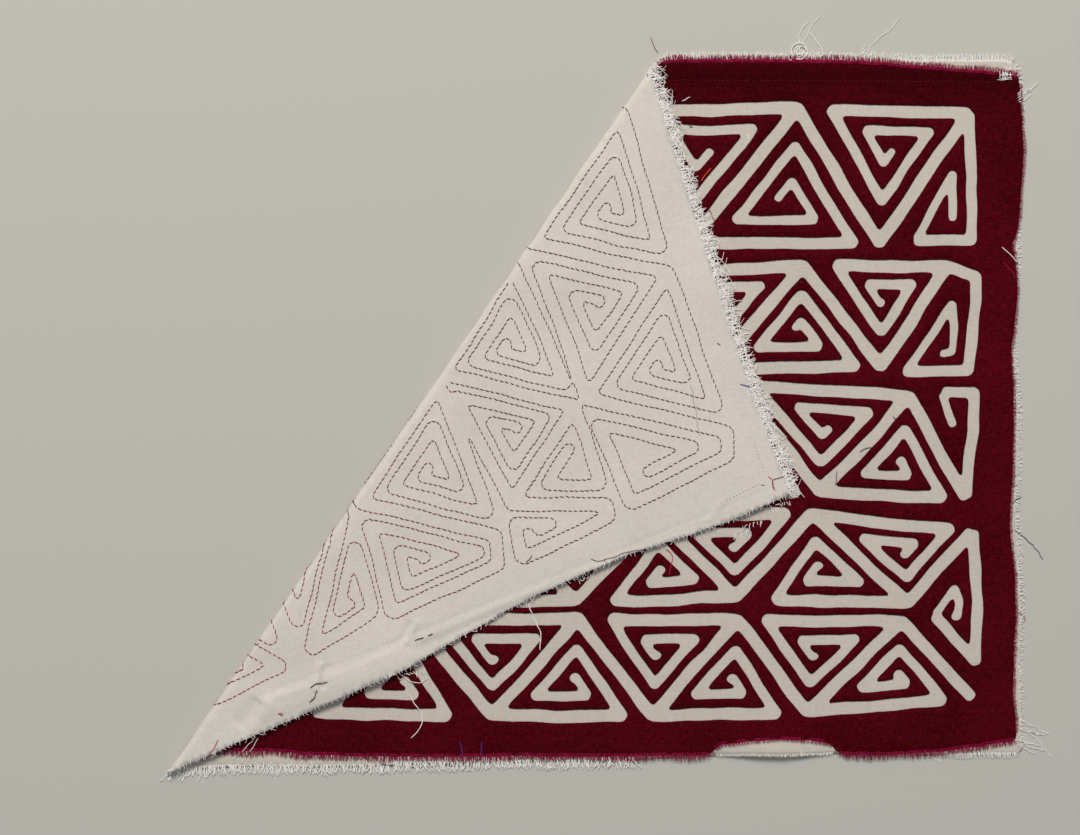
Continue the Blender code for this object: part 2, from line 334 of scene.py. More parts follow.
@dataclass(frozen=True)
class Pattern:
    """The panel's rows of triangles, and the channels that they are cut into."""

    rows: tuple[PatternRow, ...]
    channel_width: float = 6.1 * MM
    arm_width: float = 5.0 * MM
    hook_width: float = 4.1 * MM
    tail_width: float = 5.6 * MM
    hook_room: float = 8.6 * MM
    hook_share: float = 0.85
    shortest_hook: float = 2.6 * MM
    least_run: float = 6.0 * MM
    least_height: float = 4.0 * MM

    def spiral(self, row: PatternRow, start: Array, other: Array,
               apex: Array) -> tuple[list[Array], list[Array]]:
        """Draws a triangle's spiral arm inwards from one of its corners, and the hook it ends in.

        Args:
            row: The row that gives the pitch of the turns.
            start: The corner that the arm starts from.
            other: The other corner of the base.
            apex: The corner across from the base.

        Returns:
            The corners of the arm's middle line, and those of the hook's, if there is room for one.
        """
        middle = (start + other + apex) / 3.0
        side = row.pitch * MM
        deep = side + row.inner_pitch * MM
        step = row.base_pitch[0 if apex[1] > start[1] else 1] * MM
        base = (start, other)
        base_in = shifted_line(start, other, middle, step)
        far_in = shifted_line(other, apex, middle, side)
        far_deep = shifted_line(other, apex, middle, deep)
        near_in = shifted_line(start, apex, middle, side)
        near_deep = shifted_line(start, apex, middle, deep)
        tip = meet(far_deep, near_deep)
        back = (start - apex) / np.linalg.norm(start - apex)
        corners = [start, meet(base, far_in), meet(far_in, near_in), meet(near_in, base_in)]
        turn = meet(base_in, far_deep)
        run = (other - start) / np.linalg.norm(other - start)
        rise = tip - corners[3]
        height = abs(run[0] * rise[1] - run[1] * rise[0])
        if (turn - corners[3]) @ run < self.least_run or height < self.least_height:
            return corners, []
        slope = abs(run[0] * back[1] - run[1] * back[0])
        length = max(self.hook_share * (height - self.hook_room) / slope, self.shortest_hook)
        return corners + [turn], [turn, tip, tip + back * length]

    def channels(self) -> list[Channel]:
        """Returns every channel of the pattern."""
        made = []
        for row in self.rows:
            made.append(Channel(tuple(map(tuple, row.line())), self.channel_width))
            for points, width in ((row.tail, self.tail_width), (row.tail_hook, self.hook_width)):
                if points:
                    made.append(Channel(tuple((x * MM, y * MM) for x, y in points), width))
            for middle in range(1, len(row.zigzag) - 1):
                apex = np.array(row.zigzag[middle]) * MM
                before = row.cut_corner(middle - 1, middle)
                after = row.cut_corner(middle + 1, middle)
                points_up = apex[1] > (before[1] + after[1]) / 2.0
                from_left = points_up == (row.turn > 0)
                start, other = (before, after) if from_left else (after, before)
                other = other + (start - other) * dict(row.narrow).get(middle, 0.0)
                arm, hook = self.spiral(row, start, other, apex)
                made.append(Channel(tuple(map(tuple, arm[:2])), self.channel_width))
                made.append(Channel(tuple(map(tuple, arm)), self.arm_width))
                if hook:
                    made.append(Channel(tuple(map(tuple, hook)), self.hook_width))
        return made


@dataclass(frozen=True)
class HandCut:
    """How unevenly the channels are cut: their course wanders, their width swells, their edge is rough."""

    wander: float = 0.19 * MM
    wander_length: float = 18.0 * MM
    drift_share: float = 2.2
    drift_length: float = 55.0 * MM
    swell: float = 0.11 * MM
    swell_length: float = 19.0 * MM
    burr: float = 0.06 * MM
    burr_length: float = 1.9 * MM
    end_share: float = 0.3
    corner_share: float = 0.60
    rounding_rounds: int = 7


@dataclass
class Field:
    """Signed distances on an even grid over the flat drawing, in metres, positive in the cloth."""

    low: Pair = DRAWING_LOW
    high: Pair = DRAWING_HIGH
    step: float = 0.4 * MM
    values: Array = field(init=False)
    places: Array = field(init=False)

    def __post_init__(self) -> None:
        """Lays out the grid."""
        across = np.arange(self.low[0], self.high[0], self.step)
        away = np.arange(self.low[1], self.high[1], self.step)
        self.places = np.stack(np.meshgrid(across, away, indexing="ij"), axis=-1)
        self.values = np.full(self.places.shape[:2], REACH)

    def window(self, start: Pair, end: Pair, margin: float) -> tuple[slice, slice]:
        """Returns the part of the grid around a line, with a margin."""
        cuts = []
        for axis in (0, 1):
            first = (min(start[axis], end[axis]) - margin - self.low[axis]) / self.step
            last = (max(start[axis], end[axis]) + margin - self.low[axis]) / self.step
            cuts.append(slice(max(int(first), 0), max(int(last) + 2, 0)))
        return cuts[0], cuts[1]

    def cut_channels(self, channels: Sequence[Channel], hand: HandCut) -> "Field":
        """Takes the channels out of the cloth, with the uneven edge of a hand cut.

        Args:
            channels: The channels to cut.
            hand: How uneven the cut is.

        Returns:
            This field.
        """
        strays = []
        for seed in (31, 47):
            wander = ripple(self.places, hand.wander_length, seed)
            strays.append(wander + hand.drift_share * ripple(self.places, hand.drift_length, seed + 5))
        warp = hand.wander * np.stack(strays, axis=-1)
        swell = hand.swell * ripple(self.places, hand.swell_length, 71)
        for channel in channels:
            half = channel.width / 2.0
            last = len(channel.line) - 2
            for place, (start, end) in enumerate(zip(channel.line, channel.line[1:])):
                cut = self.window(start, end, REACH)
                begins = (hand.end_share if place == 0 else hand.corner_share) * half
                ends = (hand.end_share if place == last else hand.corner_share) * half
                gap = bar_distance(self.places[cut] + warp[cut], start, end, (begins, ends), half)
                self.values[cut] = np.minimum(self.values[cut], gap + swell[cut])
        for _ in range(hand.rounding_rounds):
            for axis in (0, 1):
                moved = np.roll(self.values, 1, axis=axis) + np.roll(self.values, -1, axis=axis)
                self.values = 0.5 * self.values + 0.25 * moved
        self.values += hand.burr * ripple(self.places, hand.burr_length, 73)
        return self

    def trim(self, outline: Array) -> "Field":
        """Cuts the cloth to a closed outline and returns this field."""
        ends = np.roll(outline, -1, axis=0)
        gap = np.full(self.values.shape, REACH)
        inside = np.zeros(self.values.shape, dtype=bool)
        x, y = self.places[:, 0, 0], self.places[0, :, 1]
        for start, end in zip(outline, ends):
            cut = self.window(start, end, REACH)
            _, near = nearest_on(self.places[cut], start, end)
            gap[cut] = np.minimum(gap[cut], near)
            rows = (y < start[1]) != (y < end[1])
            if rows.any():
                crossing = start[0] + (end[0] - start[0]) * (y[rows] - start[1]) / (end[1] - start[1])
                inside[:, rows] ^= x[:, None] < crossing[None, :]
        self.values = np.minimum(self.values, np.where(inside, gap, -gap))
        return self

    def at(self, flat: Array) -> Array:
        """Returns the distance at each place, read between the grid's points."""
        u = np.clip((flat[..., 0] - self.low[0]) / self.step, 0, self.values.shape[0] - 1.001)
        v = np.clip((flat[..., 1] - self.low[1]) / self.step, 0, self.values.shape[1] - 1.001)
        i, j = u.astype(int), v.astype(int)
        a, b = u - i, v - j
        low = self.values[i, j] * (1 - a) + self.values[i + 1, j] * a
        high = self.values[i, j + 1] * (1 - a) + self.values[i + 1, j + 1] * a
        return low * (1 - b) + high * b

    def loops(self, level: float, spacing: float) -> list[Array]:
        """Follows the lines of equal distance.

        Args:
            level: The distance to follow.
            spacing: Distance between the points that are kept.

        Returns:
            Closed loops of flat places, with the cloth on their left.
        """
        f = self.values - level
        f = np.where(f == 0.0, 1e-12, f)
        up = f > 0.0
        count = up[:-1, :-1] * 1 + up[1:, :-1] * 2 + up[1:, 1:] * 4 + up[:-1, 1:] * 8
        following = {}
        # Sides of a cell: 0 near, 1 right, 2 far, 3 left; each entry runs with the cloth on its left
        steps = {1: ((0, 3),), 2: ((1, 0),), 3: ((1, 3),), 4: ((2, 1),), 6: ((2, 0),), 7: ((2, 3),),
                 8: ((3, 2),), 9: ((0, 2),), 11: ((1, 2),), 12: ((3, 1),), 13: ((0, 1),), 14: ((3, 0),),
                 5: ((0, 3), (2, 1)), 10: ((1, 0), (3, 2))}
        for i, j in np.argwhere((count > 0) & (count < 15)):
            sides = ((i, j, 0), (i + 1, j, 1), (i, j + 1, 0), (i, j, 1))
            for first, last in steps[int(count[i, j])]:
                following[sides[first]] = sides[last]
        found = []
        while following:
            first, current = following.popitem()
            loop = [first]
            while current != first:
                loop.append(current)
                current = following.pop(current)
            found.append(self._smoothed(f, np.array(loop), spacing))
        return [loop for loop in found if len(loop) >= FEWEST_POINTS]

    def _smoothed(self, f: Array, loop: Array, spacing: float) -> Array:
        """Turns grid sides into places, evened out and thinned to the spacing."""
        i, j, upright = loop[:, 0], loop[:, 1], loop[:, 2]
        k, m = i + (1 - upright), j + upright
        share = f[i, j] / (f[i, j] - f[k, m])
        places = np.stack([self.low[0] + (i + share * (k - i)) * self.step,
                           self.low[1] + (j + share * (m - j)) * self.step], axis=-1)
        return evened(softened(places, 2), spacing)


def softened(loop: Array, rounds: int) -> Array:
    """Returns a closed line with its corners rounded off a little in each round."""
    for _ in range(rounds):
        loop = (np.roll(loop, 1, axis=0) + 2.0 * loop + np.roll(loop, -1, axis=0)) / 4.0
    return loop


def outward(loop: Array) -> Array:
    """Returns the way out of the cloth at each point of its edge."""
    run = np.roll(loop, -3, axis=0) - np.roll(loop, 3, axis=0)
    out = np.stack([-run[:, 1], run[:, 0]], axis=-1) / np.hypot(run[:, 0], run[:, 1])[:, None]
    return -out if np.mean((out * loop).sum(axis=1)) < 0.0 else out


def evened(loop: Array, spacing: float, closed: bool = True) -> Array:
    """Places points at an even spacing along a line.

    Args:
        loop: The line's points.
        spacing: The distance wanted between two points.
        closed: Whether the line returns to its start.

    Returns:
        The new points.
    """
    line = np.vstack([loop, loop[:1]]) if closed else loop
    lengths = np.hypot(*np.diff(line, axis=0).T[:2])
    run = np.concatenate([[0.0], np.cumsum(lengths)])
    count = max(int(round(run[-1] / spacing)), 3)
    stops = np.linspace(0.0, run[-1], count + 1)[: count if closed else count + 1]
    return np.stack([np.interp(stops, run, line[:, axis]) for axis in range(line.shape[1])], axis=-1)


def smooth_outline(corners: Sequence[Pair], spacing: float, fray: float, seed: int) -> Array:
    """Draws a cut cloth's edge through its corners.

    Args:
        corners: The edge's corners in millimetres, once around.
        spacing: Distance between the points of the edge.
        fray: How far single threads stray from the edge.
        seed: Number that picks the strays.

    Returns:
        The closed edge on the flat drawing.
    """
    loop = evened(softened(evened(np.array(corners) * MM, 1.0 * MM), 3), spacing)
    run = np.roll(loop, -1, axis=0) - np.roll(loop, 1, axis=0)
    out = np.stack([-run[:, 1], run[:, 0]], axis=-1) / np.hypot(run[:, 0], run[:, 1])[:, None]
    chance = np.random.default_rng(seed)
    stray = 0.55 * ripple(loop, 3.1 * MM, seed) + 0.6 * ripple(loop, 17.0 * MM, seed + 1)
    return loop + out * (fray * (stray + 0.5 * chance.standard_normal(len(loop))))[:, None]


def add_mesh(name: str, points: Array, faces: Array | Sequence[Sequence[int]], finish: "Finish",
             smooth: bool = True, flat: Array | None = None) -> bpy.types.Object:
    """Makes a mesh object that rides on the panel.

    Args:
        name: The object's name.
        points: Its points in the row frame.
        faces: Its faces, as rows of point numbers.
        finish: What it is made of.
        smooth: Whether its faces shade smoothly.
        flat: Flat places of its points, kept for the weave.

    Returns:
        The object.
    """
    mesh = bpy.data.meshes.new(name)
    mesh.from_pydata(points.tolist(), [], faces.tolist() if isinstance(faces, np.ndarray) else faces)
    if smooth:
        mesh.shade_smooth()
    else:
        mesh.shade_flat()
    if flat is not None:
        corners = np.empty(len(mesh.loops), dtype=np.int32)
        mesh.loops.foreach_get("vertex_index", corners)
        layer = mesh.uv_layers.new(name="flat_cloth")
        layer.data.foreach_set("uv", flat[corners].astype(np.float32).ravel())
    mesh.materials.append(finish.material())
    piece = bpy.data.objects.new(name, mesh)
    bpy.context.scene.collection.objects.link(piece)
    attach(piece, "root")
    LOG.info("%s: %d faces", name, len(mesh.polygons))
    return piece


def without_crumbs(faces: Array, fewest: int = 40) -> Array:
    """Returns the triangles of the patches that are large enough to be sewn down, islands too."""
    tag = np.arange(faces.max() + 1)
    while True:
        low = tag[faces].min(axis=1)
        new = tag.copy()
        for column in range(3):
            np.minimum.at(new, faces[:, column], low)
        new = new[new]
        if (new == tag).all():
            break
        tag = new
    _, number, sizes = np.unique(tag[faces[:, 0]], return_inverse=True, return_counts=True)
    LOG.info("patches of cloth, in triangles: %s", sorted(sizes.tolist(), reverse=True))
    return faces[sizes[number.reshape(-1)] >= fewest]


@dataclass
class Cloth:
    """A cut cloth: its field on the flat drawing, and the heights of its two sides.

    Its edges are rounded over the given width. With a shoulder, one more line of points runs at that
    distance inside the edges, so that the rounding is smooth. The points farther in lie in even rows:
    the row share is the rows' distance and the clear share their room to the edge, in spacings.
    """

    name: str
    node: str
    slot: str
    field_of_cut: Field
    low: float
    thickness: float
    rounding: float
    edge_spacing: float
    inner_spacing: float
    finish: "Finish"
    fold: Fold
    shoulder: float = 0.0
    shoulder_spacing: float = 1.45
    row_share: float = 0.866
    clear_share: float = 0.4
    rim_share: float = 0.45
    pucker: float = 0.0
    pucker_length: float = 8.0 * MM
    face_finish: "Finish | None" = None

    def triangles(self) -> tuple[Array, Array]:
        """Returns the flat cloth's points, and its triangles turned upwards."""
        points: list[Pair] = []
        edges: list[tuple[int, int]] = []
        levels = [(0.0, self.edge_spacing)]
        if self.shoulder:
            levels.append((self.shoulder, self.edge_spacing * self.shoulder_spacing))
        for level, spacing in levels:
            for loop in self.field_of_cut.loops(level, spacing):
                first, count = len(points), len(loop)
                points.extend(map(tuple, loop))
                edges.extend((first + k, first + (k + 1) % count) for k in range(count))
        step = self.inner_spacing
        across = np.arange(DRAWING_LOW[0], DRAWING_HIGH[0], step)
        away = np.arange(DRAWING_LOW[1], DRAWING_HIGH[1], step * self.row_share)
        grid = np.stack(np.meshgrid(across, away), axis=-1)
        grid[1::2, :, 0] += step / 2.0
        spread = np.concatenate([grid.reshape(-1, 2)] + [crease.places() for crease in self.fold.creases])
        spread = spread[self.field_of_cut.at(spread) > self.shoulder + step * self.clear_share]
        points.extend(map(tuple, spread))
        found = delaunay_2d_cdt(points, edges, [], 0, 1e-7, False)
        flat = np.array([tuple(point) for point in found[0]])
        faces = np.array([tuple(face) for face in found[2]])
        faces = faces[self.field_of_cut.at(flat[faces].mean(axis=1)) > 0.0]
        a, b, c = flat[faces[:, 0]], flat[faces[:, 1]], flat[faces[:, 2]]
        size = (b - a)[:, 0] * (c - a)[:, 1] - (b - a)[:, 1] * (c - a)[:, 0]
        faces[size < 0.0] = faces[size < 0.0][:, ::-1]
        faces = without_crumbs(faces[np.abs(size) > 1e-14])
        used, renumbered = np.unique(faces, return_inverse=True)
        return flat[used], renumbered.reshape(faces.shape)

    def top_height(self, flat: Array) -> Array:
        """Returns the height of the upper side, rounded off towards every cut edge."""
        inset = np.clip(self.field_of_cut.at(flat) / self.rounding, 0.0, 1.0)
        dome = np.sqrt(1.0 - (1.0 - inset) ** 2)
        swell = self.pucker * (1.0 + ripple(flat, self.pucker_length, 5)) * inset
        return self.low + self.thickness * (self.rim_share + (1.0 - self.rim_share) * dome) + swell

    def build(self) -> bpy.types.Object:
        """Makes the cloth as a closed sheet around the fold."""
        flat, faces = self.triangles()
        under = self.fold.bend(flat, np.full(len(flat), self.low))
        over = self.fold.bend(flat, self.top_height(flat))
        count = len(flat)
        sides = np.concatenate([faces[:, [0, 1]], faces[:, [1, 2]], faces[:, [2, 0]]])
        keys = sides[:, 0] * count + sides[:, 1]
        rim = sides[~np.isin(keys, sides[:, 1] * count + sides[:, 0])]
        walls = np.concatenate([
            np.stack([rim[:, 0], rim[:, 1], rim[:, 1] + count], axis=-1),
            np.stack([rim[:, 0], rim[:, 1] + count, rim[:, 0] + count], axis=-1)])
        every = np.concatenate([faces[:, ::-1], faces + count, walls])
        piece = add_mesh(self.name, np.concatenate([under, over]), every, self.finish,
                         flat=np.concatenate([flat, flat]))
        if self.face_finish:
            piece.data.materials.append(self.face_finish.material())
            slots = np.zeros(len(every), dtype=np.int32)
            slots[len(faces):2 * len(faces)] = 1
            piece.data.polygons.foreach_set("material_index", slots)
        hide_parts(self.node)
        return piece


def tubes(paths: Array, radii: Array, sides: int) -> tuple[Array, Array]:
    """Makes many thin tubes with closed ends.

    Args:
        paths: Middle lines, as tubes by points by coordinates.
        radii: Radius at each point.
        sides: Number of sides of each tube.

    Returns:
        The points and the four sided faces.
    """
    number, rings = radii.shape
    run = np.gradient(paths, axis=1)
    run /= np.maximum(np.linalg.norm(run, axis=2, keepdims=True), 1e-12)
    side = np.cross(run, np.array((0.0, 0.0, 1.0)))
    weak = np.linalg.norm(side, axis=2) < 0.05
    side[weak] = np.cross(run[weak], np.array((1.0, 0.0, 0.0)))
    side /= np.linalg.norm(side, axis=2, keepdims=True)
    rise = np.cross(side, run)
    angle = np.arange(sides) * math.tau / sides + math.pi * (0.5 - 1.0 / sides)
    ring = (side[:, :, None] * np.cos(angle)[:, None] + rise[:, :, None] * np.sin(angle)[:, None])
    points = (paths[:, :, None] + ring * radii[:, :, None, None]).reshape(-1, 3)
    start = (np.arange(number) * rings * sides)[:, None, None]
    level = (np.arange(rings - 1) * sides)[None, :, None]
    turn = np.arange(sides)[None, None, :]
    after = (turn + 1) % sides
    low = start + level
    quads = np.stack([low + turn, low + turn + sides, low + after + sides, low + after], axis=-1)
    return points, quads.reshape(-1, 4)


def tube_ends(number: int, rings: int, sides: int) -> list[list[int]]:
    """Returns the end faces that close each of many tubes."""
    ends = []
    for tube in range(number):
        first = tube * rings * sides
        last = first + (rings - 1) * sides
        ends.append([first + side for side in range(sides)])
        ends.append([last + side for side in reversed(range(sides))])
    return ends


def add_tubes(name: str, paths: Array, radii: Array, sides: int, finish: "Finish",
              flat: Array | None = None, smooth: bool = True) -> bpy.types.Object:
    """Adds many thin tubes as one piece.

    Args:
        name: The piece's name.
        paths: Middle lines, as tubes by points by coordinates.
        radii: Radius at each point.
        sides: Number of sides of each tube.
        finish: What the tubes are made of.
        flat: Flat places of the middle lines' points, kept for the finish.
        smooth: Whether the tubes shade smoothly.

    Returns:
        The piece.
    """
    points, quads = tubes(paths, radii, sides)
    faces = quads.tolist() + tube_ends(*radii.shape, sides)
    spread = None if flat is None else np.repeat(flat.reshape(-1, 2), sides, axis=0)
    return add_mesh(name, points, faces, finish, smooth=smooth, flat=spread)


class Side(Enum):
    """The sides of the panel laid flat, by the way that their edges face."""

    FAR = (0.0, 1.0)
    RIGHT = (1.0, 0.0)
    NEAR = (0.0, -1.0)
    LEFT = (-1.0, 0.0)


@dataclass
class Bundle:
    """Thin tubes of different lengths, gathered for one piece."""

    sides: int
    points: list[Array] = field(default_factory=list)
    faces: list[list[int]] = field(default_factory=list)
    count: int = 0

    def add(self, line: Array, radii: Array) -> None:
        """Adds a tube along a line, with a radius for each of its points."""
        made, quads = tubes(line[None], radii[None], self.sides)
        self.faces.extend((quads + self.count).tolist())
        for end in tube_ends(1, len(line), self.sides):
            self.faces.append([corner + self.count for corner in end])
        self.points.append(made)
        self.count += len(made)

    def build(self, name: str, finish: "Finish", flat: Array | None = None) -> bpy.types.Object:
        """Makes the tubes as one piece."""
        return add_mesh(name, np.concatenate(self.points), self.faces, finish, smooth=False, flat=flat)


@dataclass(frozen=True)
class RawEdge:
    """A cloth's raw edge on the flat drawing, and what the threads that leave it are made of."""

    loop: Array
    finish: "Finish"
    slot: str
    fold: Fold


@dataclass(frozen=True)
class Fray:
    """Loose thread ends that stand out of a raw edge, with all sizes but the span in millimetres.

    The span is the part of the edge that they leave, in metres along X or Y. Each thread starts the
    root's length inside the edge, at the height in the stack of layers, and the lift raises its tip.
    """

    name: str
    side: Side
    span: Pair
    length: float
    spacing: float
    radius: float
    curl: float
    height: float
    lift: float
    seed: int
    root: float = 0.7
    rings: int = 5
    patch_length: float = 21.0

    def roots(self, edge: Array) -> tuple[Array, Array]:
        """Returns where the threads leave the edge, and the way that each points."""
        loop = evened(edge, self.spacing * MM)
        out = outward(loop)
        facing = out @ np.array(self.side.value) > FACING
        axis = 0 if self.side in (Side.FAR, Side.NEAR) else 1
        kept = facing & (loop[:, axis] > self.span[0]) & (loop[:, axis] < self.span[1])
        return loop[kept], out[kept]

    def build(self, edge: RawEdge) -> bpy.types.Object:
        """Makes the thread ends as one piece."""
        roots, out = self.roots(edge.loop)
        chance = np.random.default_rng(self.seed)
        count = len(roots)
        share = np.linspace(0.0, 1.0, self.rings)[None, :, None]
        across = np.stack([-out[:, 1], out[:, 0]], axis=-1)
        patches = np.clip(0.5 + 0.5 * ripple(roots, self.patch_length * MM, self.seed), 0.0, 1.0)
        reach = self.length * MM * (0.35 + 0.45 * chance.random(count) + 0.30 * patches)
        lean = self.curl * chance.standard_normal((count, 1, 1))
        bow = 0.6 * self.curl * chance.standard_normal((count, 1, 1))
        root = self.root * MM
        along = roots[:, None] - out[:, None] * root
        along = along + out[:, None] * share * (reach[:, None, None] + root)
        sway = lean * share**2 + bow * np.sin(3.0 * share)
        along = along + across[:, None] * reach[:, None, None] * sway
        rise = self.height * MM + self.lift * MM * chance.random((count, 1)) * share[..., 0] ** 1.5
        paths = edge.fold.bend(along, rise)
        taper = 1.0 - 0.45 * share[..., 0]
        radii = self.radius * MM * taper * (0.8 + 0.4 * chance.random((count, 1)))
        piece = add_tubes(self.name, paths, radii, 3, edge.finish, flat=along, smooth=False)
        return piece


@dataclass(frozen=True)
class LooseWeave:
    """Long threads that have worked loose beside the far raw edge and run along it.

    The offsets are the threads' distances outside the edge in millimetres, and the span is the part of
    the edge that they run along, in metres.
    """

    name: str
    span: Pair
    offsets: tuple[float, ...]
    seed: int
    radius: float = 0.18 * MM
    height: float = 0.24 * MM
    weave_rise: float = 0.14 * MM
    waver: float = 0.42 * MM
    shortest: int = 24

    def build(self, edge: RawEdge) -> bpy.types.Object:
        """Makes the long threads as one piece."""
        loop = evened(edge.loop, 0.9 * MM)
        out = outward(loop)
        kept = (out[:, 1] > FACING) & (loop[:, 0] > self.span[0]) & (loop[:, 0] < self.span[1])
        loop, out = loop[kept], out[kept]
        order = np.argsort(loop[:, 0])
        loop, out = loop[order], out[order]
        chance = np.random.default_rng(self.seed)
        threads, flats = Bundle(3), []
        for row, offset in enumerate(self.offsets):
            first = 0
            while first < len(loop) - self.shortest:
                last = min(first + int(chance.integers(18, 70)), len(loop))
                part, away = loop[first:last], out[first:last]
                wave = ripple(part, 7.0 * MM, self.seed + row)
                wave = wave + 0.5 * ripple(part, 2.6 * MM, self.seed - row)
                line = part + away * (offset * MM + self.waver * wave)[:, None]
                height = np.full(len(line), self.height + self.weave_rise * (row % 2))
                threads.add(edge.fold.bend(line, height), np.full(len(line), self.radius))
                flats.append(np.repeat(line, 3, axis=0))
                first = last + int(chance.integers(0, 9))
        piece = threads.build(self.name, edge.finish, np.concatenate(flats))
        return piece


@dataclass
class Stitching:
    """Hand stitches that hold the turned edges of the channels, as they show on the back."""

    field_of_cut: Field
    fold: Fold
    finish: "Finish"
    inset: float = 0.25 * MM
    length: float = 2.2 * MM
    gap: float = 0.45 * MM
    radius: float = 0.28 * MM
    depth: float = 0.10 * MM
    height: float = 0.20 * MM
    under_share: float = 0.45
    lean: float = 0.14
    uneven_lean: float = 0.10
    fewest_points: int = 40
    seed: int = 8

    def lay(self) -> tuple[Array, Array]:
        """Returns the middle and the direction of every stitch on the flat drawing."""
        chance = np.random.default_rng(self.seed)
        middles, ways = [], []
        for loop in self.field_of_cut.loops(self.inset, 0.5 * MM):
            if len(loop) < self.fewest_points:
                continue
            line = np.vstack([loop, loop[:1]])
            run = np.concatenate([[0.0], np.cumsum(np.hypot(*np.diff(line, axis=0).T))])
            gaps = self.gap * chance.uniform(0.55, 1.6, int(run[-1] / self.length))
            stops = np.cumsum(self.length + gaps)
            stops = stops[stops < run[-1] - self.length]
            ends = []
            for move in (-0.5 * self.length, 0.5 * self.length):
                ends.append(np.stack([np.interp(stops + move, run, line[:, k]) for k in (0, 1)], axis=-1))
            middles.append((ends[0] + ends[1]) / 2.0)
            ways.append(ends[1] - ends[0])
        middle, way = np.concatenate(middles), np.concatenate(ways)
        tilt = self.uneven_lean * chance.standard_normal(len(way)) + self.lean
        turned = np.stack([way[:, 0] - tilt * way[:, 1], way[:, 1] + tilt * way[:, 0]], axis=-1)
        return middle, turned * chance.uniform(0.8, 1.12, len(way))[:, None]

    def build(self) -> list[bpy.types.Object]:
        """Makes the stitches of the folded part and, smaller, those under the part that lies down."""
        middle, way = self.lay()
        # Both ends of a stitch go into the cloth, and the middle stands out of it
        share = np.array((-0.5, -0.28, 0.28, 0.5))
        flat = middle[:, None] + way[:, None] * share[None, :, None]
        over = self.fold.reach(middle) < 0.0
        size = np.where(over, 1.0, self.under_share)[:, None]
        dip = size * np.array((0.6, -1.0, -1.0, 0.6)) * self.depth
        paths = self.fold.bend(flat, self.height + dip)
        radii = size * self.radius * np.array((0.6, 1.0, 1.0, 0.6))
        pieces = []
        for name, chosen in (("stitches_folded_side", over), ("stitches_under_side", ~over)):
            piece = add_tubes(name, paths[chosen], radii[chosen], 4, self.finish, flat=flat[chosen])
            pieces.append(piece)
        return pieces


class Dye(Enum):
    """The colours of the stray threads and seam stitches, as sRGB hex codes."""

    # Cream is painted near white, brighter than the cloth: painted light that stands in for light through
    # the thin threads
    CREAM = "#fbf8f2"
    BLACK = "#1d1a1c"
    CHARCOAL = "#2c2a2e"
    GREY = "#8d929b"
    BROWN = "#7c5a34"
    PINK = "#c8255f"
    ROSE = "#b3204f"
    VIOLET = "#5c3fa0"
    PLUM = "#3a2338"
    BRICK = "#9c2a2f"
    CLARET = "#5a1426"
    VERMILION = "#e2561c"
    SEAM_RED = "#7a2438"
    SEAM_WINE = "#5c1426"
    NEEDLE_MARK = "#a58f88"


@dataclass(frozen=True)
class Strand:
    """A stray thread, drawn through photograph pixels from its start to its end.

    Its width and the lift of its middle are in millimetres.
    """

    colour: Dye
    width: float
    points: tuple[Pair, ...]
    lift: float = 0.0
    waver: float = 0.5


@dataclass(frozen=True)
class Tuft:
    """A bunch of loose threads that leave an edge together, in photograph pixels.

    They start between two places and run on by the reach, each one astray by about the stray.
    """

    colour: Dye
    width: float
    start: Pair
    end: Pair
    reach: Pair
    count: int
    seed: int
    stray: float = 3.0

    def strands(self) -> list[Strand]:
        """Returns the bunch's threads."""
        chance = np.random.default_rng(self.seed)
        made = []
        for share in (np.arange(self.count) + 0.5) / self.count:
            root = np.array(self.start) * (1.0 - share) + np.array(self.end) * share
            root = root + 0.5 * chance.standard_normal(2)
            way = np.array(self.reach) * chance.uniform(0.55, 1.15) + self.stray * chance.standard_normal(2)
            bow = root + 0.5 * way + 0.7 * self.stray * chance.standard_normal(2)
            made.append(Strand(self.colour, self.width, (tuple(root), tuple(bow), tuple(root + way))))
        return made


@dataclass(frozen=True)
class Seam:
    """A straight row of small stitches or needle marks, in photograph pixels."""

    colour: Dye
    width: float
    start: Pair
    end: Pair
    length: float
    gap: float

    def strands(self) -> list[Strand]:
        """Returns the row's stitches."""
        run = np.subtract(self.end, self.start)
        whole = float(np.hypot(*run))
        run = run / whole
        chance = np.random.default_rng(int(whole))
        made = []
        for first in np.arange(0.0, whole, self.length + self.gap):
            near = np.array(self.start) + run * first + 0.2 * chance.standard_normal(2)
            far = near + run * self.length
            made.append(Strand(self.colour, self.width, (tuple(near), tuple(far)), 0.0, 0.0))
        return made


